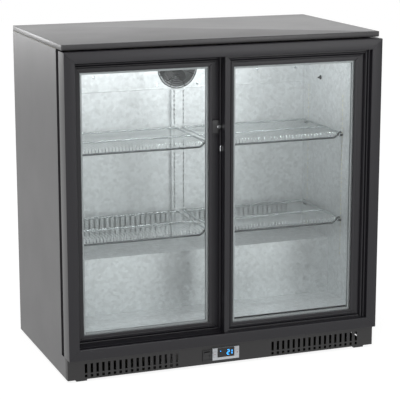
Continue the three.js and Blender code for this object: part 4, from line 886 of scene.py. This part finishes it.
class COOLER_OT_fans(bpy.types.Operator):
    """Fan wheels with twisted blades, and the wire grille in front of the cabin fan."""

    bl_idname = "cooler.fans"
    bl_label = "Fans and grille"

    def execute(self, context):
        for name, body in (("evaporator_fan_wheel", "evaporator_fan"), ("condenser_fan_wheel", "condenser_fan")):
            low, high = box(name)
            middle = (low + high) / 2
            reach = (high[2] - low[2]) / 2 - 1 * MM
            half = (high[1] - low[1]) / 2
            front = facing_front(middle)
            cap = lathe(
                front,
                [(0.5 * MM, -half), (HUB, -half), (HUB, half - 3 * MM), (HUB - 1 * MM, half - 1 * MM),
                 (HUB - 3 * MM, half), (0.5 * MM, half)],
            )
            points, faces = fan_blades(HUB - 1 * MM, reach)
            blades = (points + middle, faces)
            wheel = combine(cap, blades)
            put_piece(f"{name}_blades", wheel, finish_of("black_abs"), body, [name])
        low, high = box("fan_grille")
        middle = (low + high) / 2
        outer, bar = (high[0] - low[0]) / 2, 1.1 * MM
        place = facing_front(middle)
        count = int((outer - 10 * MM) / context.scene.cooler_sizes.grille_pitch)
        radii = [outer - 1.6 * MM - i * context.scene.cooler_sizes.grille_pitch for i in range(count)]
        rings = [torus(place, radius, bar) for radius in radii]
        rim = torus(place, outer - 1.4 * MM, 1.4 * MM)
        boss = lathe(place, [(0.5 * MM, -1 * MM), (8 * MM, -1 * MM), (8 * MM, 0.9 * MM), (6 * MM, 1.4 * MM),
                             (0.5 * MM, 1.4 * MM)])
        spokes = []
        for turn in np.arange(4) * math.pi / 4 + math.pi / 8:
            end = np.array([math.cos(turn), 0, math.sin(turn)]) * (outer - 3 * MM)
            centre = middle + np.array([0, 0.4 * MM, 0])
            spokes.append(tube([centre - end, centre + end], bar, (0, 1, 0)))
        put_piece(
            "fan_grille_wires", combine(rim, *rings, boss, *spokes), finish_of("grille_dark_painted_shade"), "cabinet",
            ["fan_grille"],
        )
        return {"FINISHED"}


HEM_DROP = 134 * MM  # from the duct cover's top down to its hem
SCREWS = ((62 * MM, 725 * MM), (250 * MM, 757 * MM), (372 * MM, 757 * MM))  # from the middle, and height
PROBE = (24 * MM, 741 * MM)  # the temperature probe's depth and height on the right wall


class COOLER_OT_lining(bpy.types.Operator):
    """Small parts of the lining: the duct cover's hem, its screws and the temperature probe's cap."""

    bl_idname = "cooler.lining"
    bl_label = "Lining details"

    def execute(self, context):
        low, high = box("duct_cover")
        face = low[1]
        hem_z = high[2] - HEM_DROP
        hem = slab_between(
            (low[0] + 0.5 * MM, face - 1.8 * MM, hem_z - 2 * MM),
            (high[0] - 0.5 * MM, face + 0.2 * MM, hem_z + 2 * MM),
            0.8 * MM, 0.7 * MM, front=True,
        )
        put_piece("duct_cover_hem", hem, finish_of("zinc_sheet"), "cabinet")
        profile = [
            (0.4 * MM, -1 * MM), (4 * MM, -1 * MM), (4 * MM, 0.6 * MM), (3.2 * MM, 1.6 * MM),
            (1.2 * MM, 2.2 * MM), (0.9 * MM, 1.2 * MM), (0.3 * MM, 1.2 * MM),
        ]
        screws = combine(
            *[lathe(facing_front((side * x, face, z)), profile, 16) for x, z in SCREWS for side in (-1, 1)]
        )
        put_piece("duct_cover_screws", screws, finish_of("chrome"), "cabinet")
        wall = box("liner_right")[0][0]
        inward = axes((wall, *PROBE), (0, 0, 1), (0, 1, 0), (-1, 0, 0))
        cap = lathe(
            inward,
            [(0.5 * MM, -0.5 * MM), (6.5 * MM, -0.5 * MM), (6.5 * MM, 1.5 * MM), (5 * MM, 3 * MM),
             (2.5 * MM, 3.4 * MM), (2.2 * MM, 9 * MM), (0.5 * MM, 9.6 * MM)],
            24,
        )
        put_piece("probe_cap", cap, finish_of("black_abs"), "cabinet")
        return {"FINISHED"}


SEGMENTS = {
    "2": "abged",
    "1": "bc",
}


def seven_segments(character, place, width, height, bar):
    """One digit of straight bars: each segment is a small slab along its side of a width x height figure."""
    w, h, half = width / 2, height / 2, bar / 2
    quarter, gap = h / 2, bar * 0.25
    spots = {
        "a": ((0, h), True), "g": ((0, 0), True), "d": ((0, -h), True), "f": ((-w, quarter), False),
        "b": ((w, quarter), False), "e": ((-w, -quarter), False), "c": ((w, -quarter), False),
    }
    solids = []
    for key in SEGMENTS[character]:
        (u, v), lying = spots[key]
        half_u, half_v = (w - gap, half) if lying else (half, quarter - gap)
        points, faces = slab(lambda p: np.asarray(p), half_u, half_v, 0, 0.3 * MM, half * 0.9, 0.05 * MM)
        solids.append((place(points + np.array([u, v, 0])), faces))
    return combine(*solids)


class COOLER_OT_controls(bpy.types.Operator):
    """Thermostat with its window, digits and keys."""

    bl_idname = "cooler.controls"
    bl_label = "Thermostat"

    def execute(self, context):
        low, high = box("controller_case")
        window_low, window_high = box("controller_window")
        face = low[1]
        middle = (low + high) / 2
        bead = 0.8 * MM
        outline = rounded_rectangle(
            (high[0] - low[0]) / 2 - bead, (high[2] - low[2]) / 2 - bead, 3.5 * MM - bead, steps=7
        )
        trim = rim(facing_front((middle[0], face + bead, middle[2])), outline, bead)
        put_piece("thermostat_trim", trim, finish_of("silver"), "cabinet")
        pane = slab_between(
            (window_low[0], face - 0.5 * MM, window_low[2]), (window_high[0], face + 2 * MM, window_high[2]),
            2.2 * MM, 0.4 * MM, front=True,
        )
        put_piece("thermostat_window", pane, finish_of("window"), "cabinet", ["controller_window"])
        middle = (window_low + window_high) / 2
        front = face - 0.5 * MM
        digits = [
            seven_segments(
                character, facing_front((x, front, middle[2] - 0.5 * MM)), 6.4 * MM, 13 * MM, 2.3 * MM
            )
            for character, x in (("2", 6.5 * MM), ("1", 14.5 * MM))
        ]
        dot = lathe(facing_front((-16 * MM, front, middle[2] + 4 * MM)),
                    [(1.3 * MM, 0), (1.3 * MM, 0.2 * MM), (0.4 * MM, 0.3 * MM)], 16)
        put_piece("thermostat_digits", combine(*digits, dot), finish_of("digits"), "cabinet")
        for side in ("left", "right"):
            name = f"controller_key_{side}"
            key_low, key_high = box(name)
            key = slab_between(key_low, key_high, 1.6 * MM, 0.6 * MM, front=True)
            put_piece(f"thermostat_key_{side}", key, finish_of("silver"), f"key_{side}", [name])
            centre = (key_low + key_high) / 2
            mark = slab(
                facing_front((centre[0], key_low[1] + 0.02 * MM, centre[2])), 1.4 * MM, 1.9 * MM, -0.2 * MM,
                0.12 * MM, 1.2 * MM, 0.05 * MM,
            )
            put_piece(f"thermostat_key_{side}_mark", mark, finish_of("mark"), f"key_{side}")
        return {"FINISHED"}


# ---------------------------------------------------------------- stage
def seen(tree):
    """1 for camera, glossy and transmission rays, and 0 for the rest."""
    path = add_node(tree, "ShaderNodeLightPath")
    first = add_node(
        tree, "ShaderNodeMath", {"operation": "MAXIMUM"}, _0=path.outputs["Is Camera Ray"],
        _1=path.outputs["Is Glossy Ray"],
    )
    both = add_node(
        tree, "ShaderNodeMath", {"operation": "MAXIMUM"}, _0=first.outputs["Value"],
        _1=path.outputs["Is Transmission Ray"],
    )
    return both.outputs["Value"]


def area_light(name, place, aim, width, height, power):
    """A rectangular softbox at place that faces aim, unseen by the camera."""
    light = bpy.data.lights.new(name, "AREA")
    light.shape, light.size, light.size_y, light.energy = "RECTANGLE", width, height, power
    lamp = bpy.data.objects.new(name, light)
    lamp.location = place
    lamp.rotation_euler = (Vector(aim) - Vector(place)).to_track_quat("-Z", "Y").to_euler()
    lamp.visible_camera = False
    bpy.context.scene.collection.objects.link(lamp)
    return lamp


SKY_LIGHT = 0.6  # strength of the sky as a light, and as the camera and mirrors see it
SKY_SEEN = 1.0
FLOOR_GLOW = 0.75  # share of white in the floor as the camera sees it, which leaves a faint shadow
FLOOR_WHITE = 1.16
FLOOR_RADIUS = 9
FLOOR_THICK = 20 * MM
FLOOR_GAP = 0.4 * MM  # below the skids, so that the two faces don't coincide

# Name, place, aim, width and height in metres, and power in watts.
SOFTBOXES = (
    ("above", (-0.4, -1.6, 3.2), (0, 0, 0.8), 1.8, 0.9, 40),
    ("right", (1.9, -4.2, 1.0), (0, 0, 0.75), 1.6, 1.0, 24),
    ("left", (-2.2, -3.8, 1.3), (0.3, 0, 0.6), 1.2, 1.0, 26),
    ("side", (-1.5, 2.6, 1.0), (-0.45, 0, 0.85), 0.9, 0.7, 16),
    ("rear", (1.6, 4.2, 2.0), (0, 0, 0.9), 3.0, 1.8, 5),
)
CABIN_LIGHT = (0.62, 0.02, 2.2)  # length, width and power

CAMERA_PLACE = (-1.5033, -3.9899, 1.3641)
CAMERA_TILT = math.radians(90 - 12.571)
CAMERA_TURN = math.radians(-20.855)
CAMERA_LENS = 138.46  # in millimetres, on a sensor as wide as a full frame
CAMERA_SENSOR = 36


class COOLER_OT_stage(bpy.types.Operator):
    """Pale floor, white surroundings, soft lights and the camera."""

    bl_idname = "cooler.stage"
    bl_label = "Stage"

    def execute(self, context):
        scene = context.scene
        scene.view_settings.view_transform = "Standard"
        world = bpy.data.worlds.new("studio")
        scene.world = world
        world.use_nodes = True
        tree = world.node_tree
        tree.nodes.clear()
        power = add_node(
            tree, "ShaderNodeMapRange", Value=seen(tree), To_Min=SKY_LIGHT, To_Max=SKY_SEEN
        )
        sky = add_node(
            tree, "ShaderNodeBackground", Color=(1, 1, 1, 1), Strength=power.outputs["Result"]
        )
        add_node(tree, "ShaderNodeOutputWorld", Surface=sky.outputs[0])

        floor_profile = [
            (0.01, -FLOOR_THICK), (FLOOR_RADIUS, -FLOOR_THICK), (FLOOR_RADIUS, -FLOOR_GAP), (0.01, -FLOOR_GAP),
        ]
        points, faces = lathe(level((0, 0, 0)), floor_profile, 96)
        mesh = bpy.data.meshes.new("floor")
        mesh.from_pydata(points.tolist(), [], faces)
        floor = bpy.data.objects.new("floor", mesh)
        scene.collection.objects.link(floor)
        material, tree = new_material("pale_floor")
        matt = add_node(tree, "ShaderNodeBsdfDiffuse", Color=linear("#EFEFEE"))
        glow = add_node(tree, "ShaderNodeEmission", Color=(1, 1, 1, 1), Strength=FLOOR_WHITE)
        share = add_node(tree, "ShaderNodeMapRange", Value=seen(tree), To_Min=0.0, To_Max=FLOOR_GLOW)
        mixed = add_node(
            tree, "ShaderNodeMixShader", Fac=share.outputs["Result"], _1=matt.outputs[0], _2=glow.outputs[0]
        )
        mesh.materials.append(finish_with(material, tree, mixed.outputs[0]))

        for name, *settings in SOFTBOXES:
            area_light(f"softbox_{name}", *settings)
        lamp_low, lamp_high = box("cabin_lamp")
        lamp = (lamp_low + lamp_high) / 2
        area_light(
            "cabin_light", (lamp[0], lamp[1], lamp_low[2] - 4 * MM), (0, 0.1, 0.45), *CABIN_LIGHT
        )

        camera = bpy.data.cameras.new("camera")
        camera.lens, camera.sensor_width, camera.clip_end = CAMERA_LENS, CAMERA_SENSOR, 100
        viewer = bpy.data.objects.new("camera", camera)
        viewer.location = CAMERA_PLACE
        viewer.rotation_euler = (CAMERA_TILT, 0, CAMERA_TURN)
        scene.collection.objects.link(viewer)
        scene.camera = viewer
        return {"FINISHED"}


STEPS = (
    COOLER_OT_finishes, COOLER_OT_worktop, COOLER_OT_frame, COOLER_OT_leaves, COOLER_OT_lock, COOLER_OT_shelves,
    COOLER_OT_fans, COOLER_OT_lining, COOLER_OT_controls, COOLER_OT_stage,
)


class COOLER_PT_panel(bpy.types.Panel):
    """Lists the cooler's sizes, colours and pieces."""

    bl_idname = "COOLER_PT_panel"
    bl_label = "Bottle cooler"
    bl_space_type = "VIEW_3D"
    bl_region_type = "UI"
    bl_category = "Cooler"

    def draw(self, context):
        for group in (context.scene.cooler_sizes, context.scene.cooler_colours):
            for name in group.bl_rna.properties.keys():
                if name not in ("rna_type", "name"):
                    self.layout.prop(group, name)
        for step in STEPS:
            self.layout.operator(step.bl_idname)


CLASSES = (CoolerSizes, CoolerColours, *STEPS, COOLER_PT_panel)


def register():
    for made in CLASSES:
        bpy.utils.register_class(made)
    bpy.types.Scene.cooler_sizes = bpy.props.PointerProperty(type=CoolerSizes)
    bpy.types.Scene.cooler_colours = bpy.props.PointerProperty(type=CoolerColours)


def unregister():
    del bpy.types.Scene.cooler_colours
    del bpy.types.Scene.cooler_sizes
    for made in reversed(CLASSES):
        bpy.utils.unregister_class(made)


def main():
    register()
    for step in STEPS:
        group, name = step.bl_idname.split(".")
        getattr(getattr(bpy.ops, group), name)()


if __name__ == "__main__":
    main()
